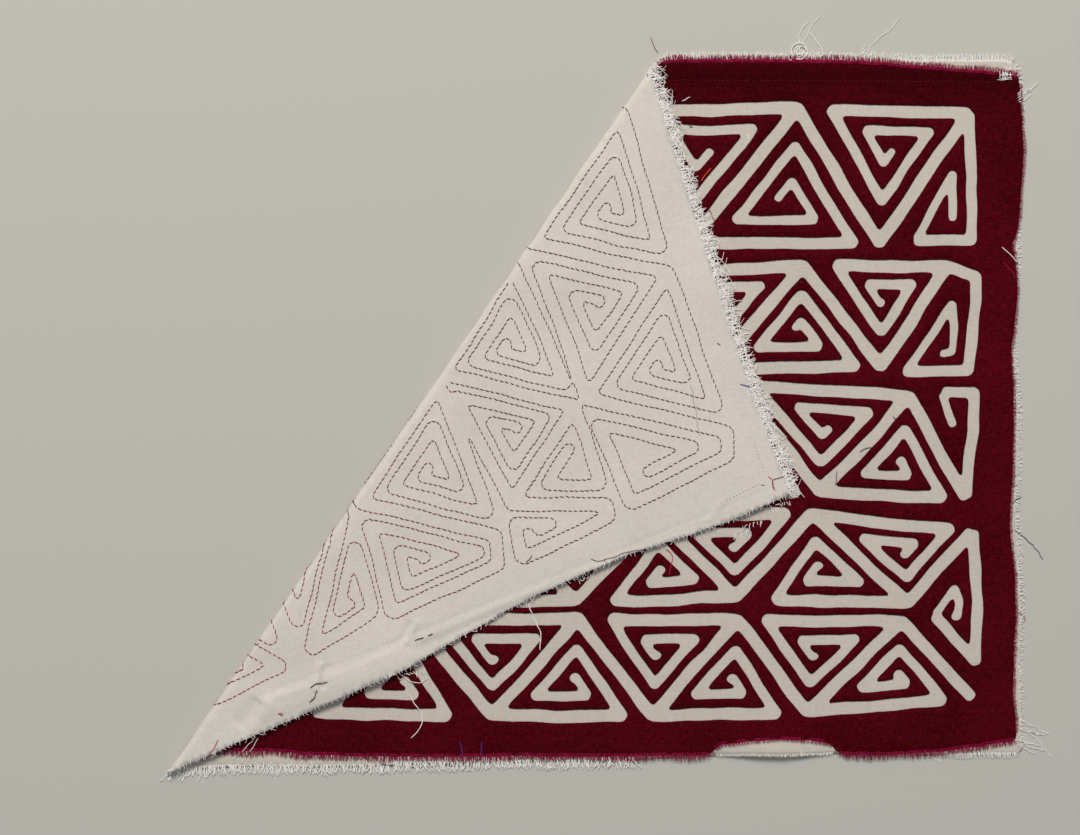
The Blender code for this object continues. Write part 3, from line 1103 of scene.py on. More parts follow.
@dataclass
class StrayThreads:
    """Loose bits of thread that lie on the panel and beside it."""

    strands: tuple[Strand, ...]
    fold: Fold
    carriers: list[bpy.types.Object]
    lift_of_lint: float = 0.12 * MM
    ray_start: float = 0.05
    first_spacing: float = 1.6 * MM
    spacing: float = 0.8 * MM
    waver_mm: float = 0.6
    waver_length: float = 6.0 * MM
    tone_spread: float = 0.12

    def ground(self) -> Callable[[float, float], float]:
        """Returns a function that finds the height of whatever lies under a place."""
        trees = []
        for piece in self.carriers:
            mesh = piece.data
            points = [piece.matrix_world @ vertex.co for vertex in mesh.vertices]
            trees.append(BVHTree.FromPolygons(points, [tuple(face.vertices) for face in mesh.polygons]))

        def height(x: float, y: float) -> float:
            """Returns the height at a place, or the table's."""
            top = 0.0
            for tree in trees:
                hit = tree.ray_cast((x, y, self.ray_start), (0.0, 0.0, -1.0))
                if hit[0] is not None:
                    top = max(top, hit[0].z)
            return top

        return height

    def curve(self, strand: Strand, seed: int, height: Callable[[float, float], float]) -> Array:
        """Draws one thread as a soft line that rests on what is under it.

        Args:
            strand: The thread.
            seed: Number that picks how it wavers.
            height: Gives the height under a place.

        Returns:
            The thread's middle line.
        """
        corners = np.array([place_of(*point) for point in strand.points]) - np.array(self.fold.shift)
        line = evened(corners, self.first_spacing, closed=False)
        for _ in range(3):
            line[1:-1] = (line[:-2] + 2.0 * line[1:-1] + line[2:]) / 4.0
        line = evened(line, self.spacing, closed=False)
        share = np.linspace(0.0, 1.0, len(line))
        loose = np.sin(math.pi * share) ** 0.5
        stray = np.stack([ripple(line, self.waver_length, number) for number in (seed, seed + 40)], axis=-1)
        line = line + strand.waver * self.waver_mm * MM * stray * loose[:, None]
        rest = np.array([height(float(x), float(y)) for x, y in line])
        for _ in range(4):
            spread = np.concatenate([rest[:1], (rest[:-2] + rest[1:-1] + rest[2:]) / 3.0, rest[-1:]])
            rest = np.maximum(rest, spread)
        lift = strand.lift * MM * np.sin(math.pi * share)
        rise = rest + strand.width * MM / 2.0 + self.lift_of_lint + lift
        return np.concatenate([line, rise[:, None]], axis=1)

    def build(self) -> list[bpy.types.Object]:
        """Makes the threads, one piece for each colour."""
        height = self.ground()
        pieces = []
        for colour in dict.fromkeys(strand.colour for strand in self.strands):
            threads = Bundle(4)
            for seed, strand in enumerate(self.strands):
                if strand.colour != colour:
                    continue
                path = self.curve(strand, seed, height)
                radii = np.full(len(path), strand.width * MM / 2.0)
                radii[[0, -1]] *= 0.5
                threads.add(path, radii)
            number = str(len(pieces) + 1)
            finish = SpunThread("spun_cotton_thread_" + number, colour.value, self.tone_spread)
            pieces.append(threads.build("stray_threads_" + number, finish))
        return pieces


def linear(code: str) -> tuple[float, float, float, float]:
    """Turns an sRGB hex code into a linear colour."""
    shares = [int(code[place:place + 2], 16) / 255.0 for place in (1, 3, 5)]
    red, green, blue = (s / 12.92 if s <= 0.04045 else ((s + 0.055) / 1.055) ** 2.4 for s in shares)
    return red, green, blue, 1.0


def add_node(tree: bpy.types.NodeTree, kind: str, settings: dict[str | int, object] | None = None,
             links: dict[str | int, bpy.types.NodeSocket] | None = None) -> bpy.types.Node:
    """Adds a node with its settings and links.

    Args:
        tree: The node tree.
        kind: The node's type.
        settings: Values by property name, or by input name or number.
        links: Sockets to link from, by input name or number.

    Returns:
        The node.
    """
    node = tree.nodes.new(kind)
    for key, value in (settings or {}).items():
        if isinstance(key, str) and hasattr(node, key):
            setattr(node, key, value)
        else:
            node.inputs[key].default_value = value
    for key, socket in (links or {}).items():
        tree.links.new(socket, node.inputs[key])
    return node


@dataclass(frozen=True)
class Finish:
    """What a piece is made of."""

    name: str

    def material(self) -> bpy.types.Material:
        """Returns the material, made on its first use."""
        made = bpy.data.materials.get(self.name)
        if made is None:
            made = bpy.data.materials.new(self.name)
            made.use_nodes = True
            self.dress(made.node_tree, made.node_tree.nodes["Principled BSDF"])
        return made

    def dress(self, tree: bpy.types.NodeTree, shader: bpy.types.Node) -> None:
        """Sets up the finish's nodes."""
        raise NotImplementedError


@dataclass(frozen=True)
class WovenCotton(Finish):
    """Plain-woven cotton: matt, with uneven threads both ways and lint caught in the weave.

    It gives the eye a soft grid of threads with thicker slubs. The threads are about 0.3 mm apart on
    the real cloth, and are drawn about twice as coarse so that they show. The shades are tones of
    painted shade, by the distance away from the near edge in millimetres.
    """

    light: str
    middle: str
    dark: str
    lint: str
    thread_mm: float
    slub_mm: float
    fleck_share: float
    fleck_mm: float = 1.3
    fleck_length: float = 1.4
    patch_mm: float = 38.0
    streak: float = 0.0
    streak_mm: Pair = (70.0, 1.7)
    shades: tuple[Pair, ...] = ()
    relief_mm: float = 0.08
    gloss: float = 0.15
    nap: float = 0.08

    def threads(self, tree: bpy.types.NodeTree, flat: bpy.types.NodeSocket, width: Pair,
                detail: float) -> bpy.types.NodeSocket:
        """Adds noise drawn out along one way of the threads.

        Args:
            tree: The node tree.
            flat: The flat places.
            width: Size of one streak along X and Y, in millimetres.
            detail: How rough the streaks are.

        Returns:
            The noise's socket.
        """
        scale = (1.0 / (width[0] * MM), 1.0 / (width[1] * MM), 1.0)
        sized = add_node(tree, "ShaderNodeMapping", {"Scale": scale}, {"Vector": flat})
        noise = add_node(tree, "ShaderNodeTexNoise", {"Scale": 1.0, "Detail": detail, "Roughness": 0.6},
                         {"Vector": sized.outputs[0]})
        return noise.outputs["Fac"]

    def shaded(self, tree: bpy.types.NodeTree, flat: bpy.types.NodeSocket,
               colour: bpy.types.NodeSocket) -> bpy.types.NodeSocket:
        """Paints shade on the cloth, by a tone for its distance away from the near edge.

        Args:
            tree: The node tree.
            flat: The flat places.
            colour: The cloth's colour.

        Returns:
            The new colour's socket.
        """
        away = add_node(tree, "ShaderNodeSeparateXYZ", {}, {0: flat}).outputs[1]
        first, last = self.shades[0][0], self.shades[-1][0]
        share = add_node(tree, "ShaderNodeMapRange", {"From Min": first * MM, "From Max": last * MM},
                         {"Value": away})
        ramp = add_node(tree, "ShaderNodeValToRGB", {}, {"Fac": share.outputs[0]})
        stops = ramp.color_ramp.elements
        for place, (level, tone) in enumerate(self.shades):
            at = (level - first) / (last - first)
            stop = stops[0] if place == 0 else stops[-1] if place == len(self.shades) - 1 else stops.new(at)
            stop.position = at
            stop.color = (tone, tone, tone, 1.0)
        deep = add_node(tree, "ShaderNodeMix", {"data_type": "RGBA", "blend_type": "MULTIPLY", 0: 1.0},
                        {6: colour, 7: ramp.outputs[0]})
        return deep.outputs[2]

    def tinted(self, tree: bpy.types.NodeTree, flat: bpy.types.NodeSocket,
               cloth: bpy.types.NodeSocket) -> bpy.types.NodeSocket:
        """Colours the threads, with soft patches, long slubs and lint.

        Args:
            tree: The node tree.
            flat: The flat places.
            cloth: The noise of both ways of the threads.

        Returns:
            The colour's socket.
        """
        patch = self.threads(tree, flat, (self.patch_mm, self.patch_mm), 2.0)
        fleck = self.threads(tree, flat, (self.fleck_mm, self.fleck_length * self.fleck_mm), 3.0)
        slubs = self.threads(tree, flat, self.streak_mm, 2.0)
        patchy = add_node(tree, "ShaderNodeMath", {"operation": "MULTIPLY", 1: 0.20}, {0: patch})
        mixed = add_node(tree, "ShaderNodeMath", {"operation": "MULTIPLY_ADD", 1: 0.42},
                         {0: cloth, 2: patchy.outputs[0]})
        mixed = add_node(tree, "ShaderNodeMath", {"operation": "MULTIPLY_ADD", 1: self.streak},
                         {0: slubs, 2: mixed.outputs[0]})
        ramp = add_node(tree, "ShaderNodeValToRGB", {}, {"Fac": mixed.outputs[0]})
        stops = ramp.color_ramp.elements
        stops[0].position, stops[0].color = 0.36, linear(self.dark)
        stops[1].position, stops[1].color = 0.68, linear(self.light)
        stops.new(0.52).color = linear(self.middle)
        spots = add_node(tree, "ShaderNodeMapRange",
                         {"From Min": 0.60, "From Max": 0.78, "To Max": self.fleck_share}, {"Value": fleck})
        colour = add_node(tree, "ShaderNodeMix", {"data_type": "RGBA", 7: linear(self.lint)},
                          {0: spots.outputs[0], 6: ramp.outputs[0]})
        return self.shaded(tree, flat, colour.outputs[2]) if self.shades else colour.outputs[2]

    def raised(self, tree: bpy.types.NodeTree, flat: bpy.types.NodeSocket,
               cloth: bpy.types.NodeSocket) -> bpy.types.NodeSocket:
        """Raises the threads over and under each other.

        Args:
            tree: The node tree.
            flat: The flat places.
            cloth: The noise of both ways of the threads.

        Returns:
            The bent normal's socket.
        """
        bands = []
        millimetres = (1.0 / MM, 1.0 / MM, 1.0)
        for way in ("X", "Y"):
            sized = add_node(tree, "ShaderNodeMapping", {"Scale": millimetres}, {"Vector": flat})
            wave = add_node(tree, "ShaderNodeTexWave",
                            {"bands_direction": way, "Scale": math.tau / 20.0 / self.thread_mm,
                             "Distortion": 0.8, "Detail": 1.0}, {"Vector": sized.outputs[0]})
            bands.append(wave.outputs["Fac"])
        weave = add_node(tree, "ShaderNodeMath", {"operation": "ADD"}, {0: bands[0], 1: bands[1]})
        height = add_node(tree, "ShaderNodeMath", {"operation": "MULTIPLY_ADD", 1: 0.35},
                          {0: weave.outputs[0], 2: cloth})
        bump = add_node(tree, "ShaderNodeBump", {"Strength": 0.8, "Distance": self.relief_mm * MM},
                        {"Height": height.outputs[0]})
        return bump.outputs[0]

    def dress(self, tree: bpy.types.NodeTree, shader: bpy.types.Node) -> None:
        """Sets up the cotton's colour, lint and thread relief."""
        flat = add_node(tree, "ShaderNodeUVMap", {"uv_map": "flat_cloth"}).outputs[0]
        warp = self.threads(tree, flat, (self.thread_mm, self.slub_mm), 3.0)
        weft = self.threads(tree, flat, (self.slub_mm, self.thread_mm), 3.0)
        cloth = add_node(tree, "ShaderNodeMath", {"operation": "ADD"}, {0: warp, 1: weft}).outputs[0]
        tree.links.new(self.tinted(tree, flat, cloth), shader.inputs["Base Color"])
        tree.links.new(self.raised(tree, flat, cloth), shader.inputs["Normal"])
        shader.inputs["Roughness"].default_value = 0.92
        shader.inputs["Specular IOR Level"].default_value = self.gloss
        shader.inputs["Sheen Weight"].default_value = self.nap
        shader.inputs["Sheen Roughness"].default_value = 0.6


@dataclass(frozen=True)
class SpunThread(Finish):
    """Spun cotton thread: matt, and lighter and darker along its twist."""

    colour: str
    spread: float
    tone_mm: float = 1.1

    def dress(self, tree: bpy.types.NodeTree, shader: bpy.types.Node) -> None:
        """Sets up the thread's uneven colour."""
        place = add_node(tree, "ShaderNodeTexCoord").outputs["Object"]
        noise = add_node(tree, "ShaderNodeTexNoise", {"Scale": 1.0 / (self.tone_mm * MM), "Detail": 2.0},
                         {"Vector": place})
        tones = linear(self.colour)[:3]
        ramp = add_node(tree, "ShaderNodeValToRGB", {}, {"Fac": noise.outputs["Fac"]})
        stops = ramp.color_ramp.elements
        for stop, level, share in zip(stops, (0.35, 0.65), (1.0 - self.spread, 1.0 + self.spread)):
            stop.position = level
            stop.color = (*(min(1.0, tone * share) for tone in tones), 1.0)
        tree.links.new(ramp.outputs[0], shader.inputs["Base Color"])
        shader.inputs["Roughness"].default_value = 0.9
        shader.inputs["Specular IOR Level"].default_value = 0.1


@dataclass(frozen=True)
class SewingThread(Finish):
    """Wine-red sewing cotton, faded to a rosier red towards the near edge.

    The change runs between two distances away from the panel's middle line, in metres.
    """

    near: str
    far: str
    change: Pair = (-0.110, 0.030)
    tone_mm: float = 2.2

    def dress(self, tree: bpy.types.NodeTree, shader: bpy.types.Node) -> None:
        """Sets up the thread's two reds and its uneven tone."""
        flat = add_node(tree, "ShaderNodeUVMap", {"uv_map": "flat_cloth"}).outputs[0]
        away = add_node(tree, "ShaderNodeSeparateXYZ", {}, {0: flat}).outputs[1]
        share = add_node(tree, "ShaderNodeMapRange",
                         {"From Min": self.change[0], "From Max": self.change[1]}, {"Value": away})
        noise = add_node(tree, "ShaderNodeTexNoise", {"Scale": 1.0 / (self.tone_mm * MM), "Detail": 2.0},
                         {"Vector": flat})
        red = add_node(tree, "ShaderNodeMix",
                       {"data_type": "RGBA", 6: linear(self.near), 7: linear(self.far)},
                       {0: share.outputs[0]})
        tone = add_node(tree, "ShaderNodeMapRange",
                        {"From Min": 0.3, "From Max": 0.7, "To Min": 0.55, "To Max": 1.5},
                        {"Value": noise.outputs["Fac"]})
        colour = add_node(tree, "ShaderNodeVectorMath", {"operation": "SCALE"},
                          {0: red.outputs[2], 3: tone.outputs[0]})
        tree.links.new(colour.outputs[0], shader.inputs["Base Color"])
        shader.inputs["Roughness"].default_value = 0.9
        shader.inputs["Specular IOR Level"].default_value = 0.1


@dataclass(frozen=True)
class PaintedBoard(Finish):
    """Matt pale board, almost even, for the table under the panel."""

    colour: str

    def dress(self, tree: bpy.types.NodeTree, shader: bpy.types.Node) -> None:
        """Sets up the board's plain colour."""
        shader.inputs["Base Color"].default_value = linear(self.colour)
        shader.inputs["Roughness"].default_value = 0.9


# Corners of each cloth's raw edge in millimetres on the flat drawing, with the far edge first
BASE_EDGE: tuple[Pair, ...] = (
    (-197.4, 161.6), (-179.4, 161.4), (-138.7, 161.8), (-91.7, 164.6), (-44.5, 167.4), (2.8, 170.5),
    (20.8, 171.8), (28.6, 173.4), (31.4, 178.2), (34.0, 178.8), (82.2, 178.8), (127.2, 178.4),
    (166.2, 177.2), (206.6, 177.4), (209.8, 175.6), (211.8, 168.9),
    (212.8, 150.8), (211.4, 122.0), (212.0, 92.8), (210.8, 62.2), (209.4, 36.8), (211.6, 6.8),
    (212.0, -23.2), (210.4, -43.2), (212.4, -73.2), (213.0, -103.2), (212.6, -138.2), (213.8, -157.8),
    (213.8, -169.0), (209.8, -171.2), (181.8, -171.4), (149.8, -170.6), (120.8, -170.2), (112.8, -170.6),
    (62.2, -171.0), (42.2, -172.0), (12.2, -173.8), (-47.8, -174.8), (-87.8, -175.6), (-132.8, -177.0),
    (-172.8, -176.8), (-204.4, -178.0), (-214.8, -180.8), (-212.2, -113.2), (-209.8, -53.2),
    (-203.8, -13.2), (-198.8, 21.8), (-196.2, 71.8), (-199.2, 126.8),
)
TOP_EDGE: tuple[Pair, ...] = (
    (-195.4, 158.6), (-137.8, 158.8), (-91.7, 161.6), (-44.5, 164.4), (2.8, 167.5), (20.8, 169.6),
    (28.0, 171.6), (34.0, 177.0),
    (82.2, 177.2), (127.2, 176.6), (148.8, 175.2), (170.2, 173.2), (202.4, 171.0), (211.9, 168.6),
    (213.2, 150.8), (214.4, 131.8), (211.8, 92.8), (208.6, 84.8), (209.9, 76.8), (211.4, 62.2),
    (208.4, 30.8), (209.4, -3.8), (208.4, -36.2), (207.2, -55.2), (209.4, -73.2), (210.4, -100.2),
    (208.8, -138.2), (210.9, -163.4), (178.0, -168.4), (145.0, -170.8), (121.6, -170.2),
    (119.2, -167.0), (116.8, -164.8), (106.2, -163.2), (94.6, -162.6), (76.2, -163.8),
    (61.8, -165.8), (60.2, -168.2), (57.4, -170.6), (42.4, -171.0), (12.2, -171.4), (-47.8, -171.2),
    (-87.8, -171.6), (-118.2, -171.2), (-139.6, -170.6), (-164.8, -168.8), (-194.8, -168.2),
    (-209.8, -175.4), (-205.2, -53.2), (-199.8, -13.2), (-194.8, 21.8), (-192.8, 81.8),
    (-195.2, 126.8),
)
# The rows' corners in millimetres on the flat drawing, from the far row to the near one
PATTERN = Pattern((
    PatternRow(
        turn=1, pitch=10.9, inner_pitch=9.8, base_pitch=(12.0, 9.8),
        zigzag=((-172.7, 85.7), (-166.8, 156.1), (-115.8, 84.1), (-72.2, 144.5), (-33.0, 86.0),
                (9.8, 151.4), (47.2, 85.2), (100.8, 152.8), (142.2, 85.2), (186.2, 150.2)),
        tail=((186.2, 150.2), (188.8, 118.0), (187.5, 86.4), (160.0, 86.8)),
        tail_hook=((160.6, 88.2), (179.2, 120.4), (178.3, 96.6)),
        blunt_corner=1, blunt_length=17.0, narrow=((8, 0.058),)),
    PatternRow(
        turn=1, pitch=9.4, inner_pitch=8.2, base_pitch=(10.0, 8.8),
        zigzag=((-179.4, 25.4), (-173.2, 85.5), (-151.6, 29.6), (-116.8, 77.2), (-78.8, 21.8),
                (-40.8, 73.8), (-0.8, 20.8), (33.8, 70.2), (60.8, 22.8), (102.8, 74.2), (142.8, 23.8),
                (176.2, 73.8)),
        tail=((176.2, 73.8), (184.2, 70.4), (190.4, 69.0), (190.4, 56.0), (187.0, 27.2), (186.2, 21.6),
              (155.0, 21.8)),
        tail_hook=((156.6, 23.6), (178.7, 55.0), (179.5, 43.5), (178.3, 31.2), (172.2, 30.4)),
        blunt_corner=1, blunt_length=12.0, narrow=((10, 0.08),)),
    PatternRow(
        turn=1, pitch=9.7, inner_pitch=9.0, base_pitch=(10.5, 9.2),
        zigzag=((-181.2, -45.2), (-175.6, 35.0), (-123.6, -39.5), (-82.2, 17.8), (-44.2, -43.2),
                (-2.8, 14.8), (36.2, -43.2), (71.2, 14.4), (112.2, -39.2), (157.2, 8.8), (185.2, -42.8)),
        tail=((185.6, -42.0), (189.1, -8.0), (188.7, 10.6), (173.8, 10.8)),
        tail_hook=((172.9, 9.8), (179.2, -6.2)),
        blunt_corner=1, blunt_length=22.0, narrow=((8, -0.06),)),
    PatternRow(
        turn=-1, pitch=8.8, inner_pitch=7.9, base_pitch=(9.2, 8.8),
        zigzag=((-176.2, -53.5), (-182.6, -89.5), (-125.8, -50.2), (-90.2, -93.2), (-49.2, -51.8),
                (-10.2, -94.2), (29.8, -50.8), (69.8, -92.2), (107.8, -50.2), (156.2, -94.8),
                (187.8, -59.2)),
        tail=((188.8, -59.0), (191.2, -94.0), (190.4, -123.8), (169.6, -100.8)),
        tail_hook=((170.0, -99.8), (179.8, -87.6), (182.1, -94.2), (181.4, -101.6), (178.8, -100.9)),
        narrow=((6, 0.107), (8, 0.118))),
    PatternRow(
        turn=1, pitch=9.3, inner_pitch=8.6, base_pitch=(9.8, 9.3),
        zigzag=((-188.0, -145.5), (-186.0, -106.8), (-135.2, -150.2), (-91.8, -102.8), (-51.8, -151.2),
                (-8.8, -102.8), (28.2, -151.2), (70.8, -103.2), (106.2, -149.2), (153.2, -103.8),
                (188.2, -141.8)),
        tail=((-132.0, -150.2), (-140.5, -149.8)),
        narrow=((3, 0.13), (5, 0.04), (6, 0.08), (7, 0.05), (8, 0.03), (9, 0.036))),
))
# Unbleached plain-woven cotton, washed soft: pale and warm, quite matt, with a faint thread grid
NATURAL = WovenCotton("plain_woven_natural_cotton_back", "#e8e2dc", "#ded8d1", "#d1cac3", "#f5f2ee",
                      thread_mm=0.62, slub_mm=6.0, fleck_share=0.25)
# The same cotton on its face, which has taken up a little dye and dust and looks a shade greyer
NATURAL_FACE = WovenCotton("plain_woven_natural_cotton_face", "#d8d2ca", "#cfc8bf", "#c3bcb2", "#e6e1da",
                           thread_mm=0.62, slub_mm=6.0, fleck_share=0.20)
# Dyed plain-woven cotton: a deep wine red without gloss, with paler lint; painted shade darkens it most
# in a band along the turned hem by its far edge, and a little towards the near edge
WINE = WovenCotton("plain_woven_wine_red_cotton", "#5e0918", "#42030c", "#220003", "#842a41",
                   thread_mm=0.70, slub_mm=3.5, fleck_mm=1.4, fleck_share=0.42, streak=0.12,
                   gloss=0.03, nap=0.0,
                   shades=((-160.0, 0.94), (60.0, 1.02), (150.0, 0.92), (158.0, 0.74), (166.6, 0.60),
                           (168.0, 0.48), (171.0, 0.56), (174.0, 0.64), (177.0, 0.9)))
# Single threads pulled out of the natural cloth, painted near white: a painted brightening that stands in
# for the light that goes through them and makes up for the shade among the close threads
FRAYED_NATURAL = SpunThread("loose_natural_cotton_ends", "#f4f2ef", 0.08)
# Single threads of the dyed cloth: rosier than the cloth, and uneven where the dye wore off
FRAYED_WINE = SpunThread("loose_wine_red_cotton_ends", "#800934", 0.45)
# Twisted sewing cotton: thin wine-red dashes, duller than the cloth
SEWING = SewingThread("wine_red_sewing_cotton", "#98323f", "#651f2a")


def pressed_creases(fold: Fold) -> tuple[Crease, ...]:
    """Returns the creases that show, placed on the photograph.

    Args:
        fold: The fold, which tells where a crease of the folded side lies flat.

    Returns:
        The creases on the flat drawing.
    """
    # Each row: both ends in photograph pixels, then half the width and the rise in millimetres
    on_top = (
        ((655.0, 66.0), (793.0, 482.0), 1.5, 0.26),
        ((672.0, 66.0), (800.0, 478.0), 2.2, -0.12),
        ((245.0, 702.0), (520.0, 590.0), 1.1, -0.14),
        ((520.0, 590.0), (786.0, 482.0), 1.1, -0.12),
        ((322.0, 660.0), (316.0, 692.0), 1.6, 0.70),
        ((328.0, 662.0), (323.0, 690.0), 1.7, -0.50),
        ((419.0, 618.0), (405.0, 646.0), 1.7, 0.60),
        ((412.0, 620.0), (400.0, 644.0), 1.7, -0.45),
        ((238.0, 728.0), (260.0, 698.0), 4.0, -0.90),
        ((252.0, 732.0), (274.0, 700.0), 3.2, 0.50),
        ((262.0, 702.0), (316.0, 684.0), 1.9, 0.36),
        ((318.0, 682.0), (404.0, 646.0), 1.9, 0.36),
        ((330.0, 676.0), (404.0, 641.0), 2.4, -0.34),
        ((404.0, 646.0), (560.0, 580.0), 1.9, 0.36),
        ((404.0, 654.0), (560.0, 587.0), 2.0, -0.28),
        ((560.0, 580.0), (700.0, 532.0), 1.9, 0.32),
        ((560.0, 587.0), (700.0, 539.0), 2.0, -0.26),
        ((706.0, 524.0), (724.0, 500.0), 2.0, 0.40),
        ((250.0, 716.0), (432.0, 652.0), 9.0, 1.6),
        ((612.0, 140.0), (470.0, 352.0), 7.0, 0.35),
        ((420.0, 430.0), (250.0, 672.0), 6.0, 0.30),
    )
    lying = (
        ((700.0, 78.0), (1004.0, 92.0), 0.9, -0.16),
        ((1002.0, 96.0), (1003.0, 735.0), 0.9, -0.14),
        ((880.0, 80.0), (948.0, 101.0), 2.6, 0.75),
        ((930.0, 66.0), (962.0, 92.0), 2.2, 0.40),
        ((700.0, 744.0), (380.0, 742.0), 2.0, 0.20),
    )
    found = [Crease(fold.mirrored(place_of(*start)), fold.mirrored(place_of(*end)), half * MM, rise * MM)
             for start, end, half, rise in on_top]
    found += [Crease(place_of(*start), place_of(*end), half * MM, rise * MM)
              for start, end, half, rise in lying]
    return tuple(found)


# The order of these two tables gives each thread the number that its wavering is drawn from
STRANDS: tuple[Strand, ...] = (
    Strand(Dye.CREAM, 0.55, ((528, 604), (534, 618), (541, 634), (540, 650))),
    Strand(Dye.CREAM, 0.50, ((409, 694), (416, 706), (423, 716), (420, 730), (411, 738))),
    Strand(Dye.CREAM, 0.55, ((794, 59), (790, 51), (794, 43), (803, 41), (808, 48), (803, 55),
                             (796, 55), (795, 49), (802, 46)), 0.4, 0.2),
    Strand(Dye.CREAM, 0.55, ((788, 55), (796, 60), (806, 58), (809, 50), (803, 44), (796, 47)), 0.6, 0.2),
    Strand(Dye.CREAM, 0.45, ((808, 57), (816, 60), (823, 58), (823, 49), (816, 40), (810, 32)), 0.2, 0.2),
    Strand(Dye.CREAM, 0.40, ((797, 52), (806, 38), (812, 24), (820, 16))),
    Strand(Dye.CREAM, 0.40, ((793, 52), (800, 42), (800, 30), (810, 20))),
    Strand(Dye.CREAM, 0.35, ((868, 52), (876, 40), (888, 32), (900, 18))),
    Strand(Dye.CREAM, 0.50, ((682, 101), (686, 98), (690, 97))),
    Strand(Dye.CREAM, 0.40, ((749, 134), (748, 140), (746, 146))),
    Strand(Dye.CREAM, 0.45, ((1002, 247), (1010, 254), (1018, 262), (1022, 272))),
    Strand(Dye.CREAM, 0.40, ((1024, 722), (1036, 728), (1050, 735))),
    Strand(Dye.CREAM, 0.40, ((1026, 730), (1040, 742), (1052, 758))),
    Strand(Dye.CREAM, 0.40, ((256, 736), (246, 748), (232, 760))),
    Strand(Dye.CREAM, 0.40, ((258, 738), (250, 752), (240, 764))),
    Strand(Dye.CREAM, 0.40, ((400, 674), (408, 680), (420, 684), (428, 678))),
    Strand(Dye.BLACK, 0.45, ((311, 687), (318, 682), (328, 681)), 0.2),
    Strand(Dye.BLACK, 0.45, ((318, 690), (314, 697), (310, 702)), 0.2),
    Strand(Dye.BLACK, 0.50, ((415, 640), (420, 638), (424, 637)), 0.0, 0.2),
    Strand(Dye.BLACK, 0.50, ((428, 635), (433, 633)), 0.0, 0.2),
    Strand(Dye.BLACK, 0.40, ((689, 124), (690, 127), (693, 127)), 0.0, 0.2),
    Strand(Dye.BLACK, 0.35, ((785.5, 475.8), (778.3, 477.8), (772.4, 478.4), (770.6, 483.7),
                             (772.7, 489.5), (775, 490.5))),
    Strand(Dye.BLACK, 0.30, ((760.5, 484.8), (762.6, 483.6), (764.5, 485.4))),
    Strand(Dye.CHARCOAL, 0.35, ((1012, 505), (1017, 501), (1022, 497))),
    Strand(Dye.CHARCOAL, 0.35, ((1015, 530), (1026, 538), (1036, 548), (1044, 560))),
    Strand(Dye.GREY, 0.26, ((690, 385), (694, 393), (692, 402), (697, 411), (696, 421), (700, 436))),
    Strand(Dye.BROWN, 0.32, ((590.6, 558.5), (592.7, 561), (603, 560.4), (613, 556.7), (621.7, 553.6),
                             (628, 550.5), (634, 551.7), (640, 549.9), (644.6, 547.2), (644, 551))),
    Strand(Dye.BROWN, 0.45, ((526, 562), (529, 558), (532, 555))),
    Strand(Dye.PINK, 0.45, ((666, 549), (671, 553), (674, 558), (671, 566), (669, 575))),
    Strand(Dye.PINK, 0.35, ((767.8, 476.5), (771.6, 477.8), (774.2, 482.5), (773.9, 489.6))),
    Strand(Dye.PINK, 0.30, ((627.3, 550.5), (630.4, 554.2), (637.2, 557.3))),
    Strand(Dye.BLACK, 0.35, ((604.4, 558), (605, 561.6)), 0.0, 0.1),
    Strand(Dye.ROSE, 0.35, ((1018, 612), (1024, 615), (1028, 619), (1023, 624))),
    Strand(Dye.ROSE, 0.35, ((1003, 262), (1010, 268), (1016, 278))),
    Strand(Dye.VIOLET, 0.45, ((740, 384), (747, 386), (753, 388)), 0.0, 0.2),
    Strand(Dye.VIOLET, 0.35, ((460, 742), (462, 750), (463, 758))),
    Strand(Dye.VIOLET, 0.35, ((482, 742), (481, 750), (480, 757))),
    Strand(Dye.PLUM, 0.40, ((380, 764), (410, 768), (440, 766), (470, 767))),
    Strand(Dye.BRICK, 0.40, ((219, 739), (213, 750), (209, 757), (202, 761))),
    Strand(Dye.BRICK, 0.32, ((278.5, 713.5), (281, 710.2), (284.6, 711.2), (285, 715), (281.6, 716.6),
                             (278.8, 714.6), (279.4, 712))),
    Strand(Dye.BRICK, 0.45, ((717, 343), (720, 345)), 0.0, 0.1),
    Strand(Dye.BRICK, 0.35, ((707, 208), (713, 211), (710, 216), (716, 221))),
    Strand(Dye.CLARET, 0.35, ((893, 416), (898, 419), (899, 425))),
    Strand(Dye.CLARET, 0.35, ((651, 37), (652, 41), (655, 47), (658, 53))),
    Strand(Dye.CLARET, 0.35, ((860, 452), (866, 448), (875, 447))),
    Strand(Dye.CLARET, 0.35, ((837, 471), (838, 478), (835, 485))),
    Strand(Dye.VERMILION, 0.60, ((701, 181), (705, 175), (711, 168)), 0.0, 0.1),
)
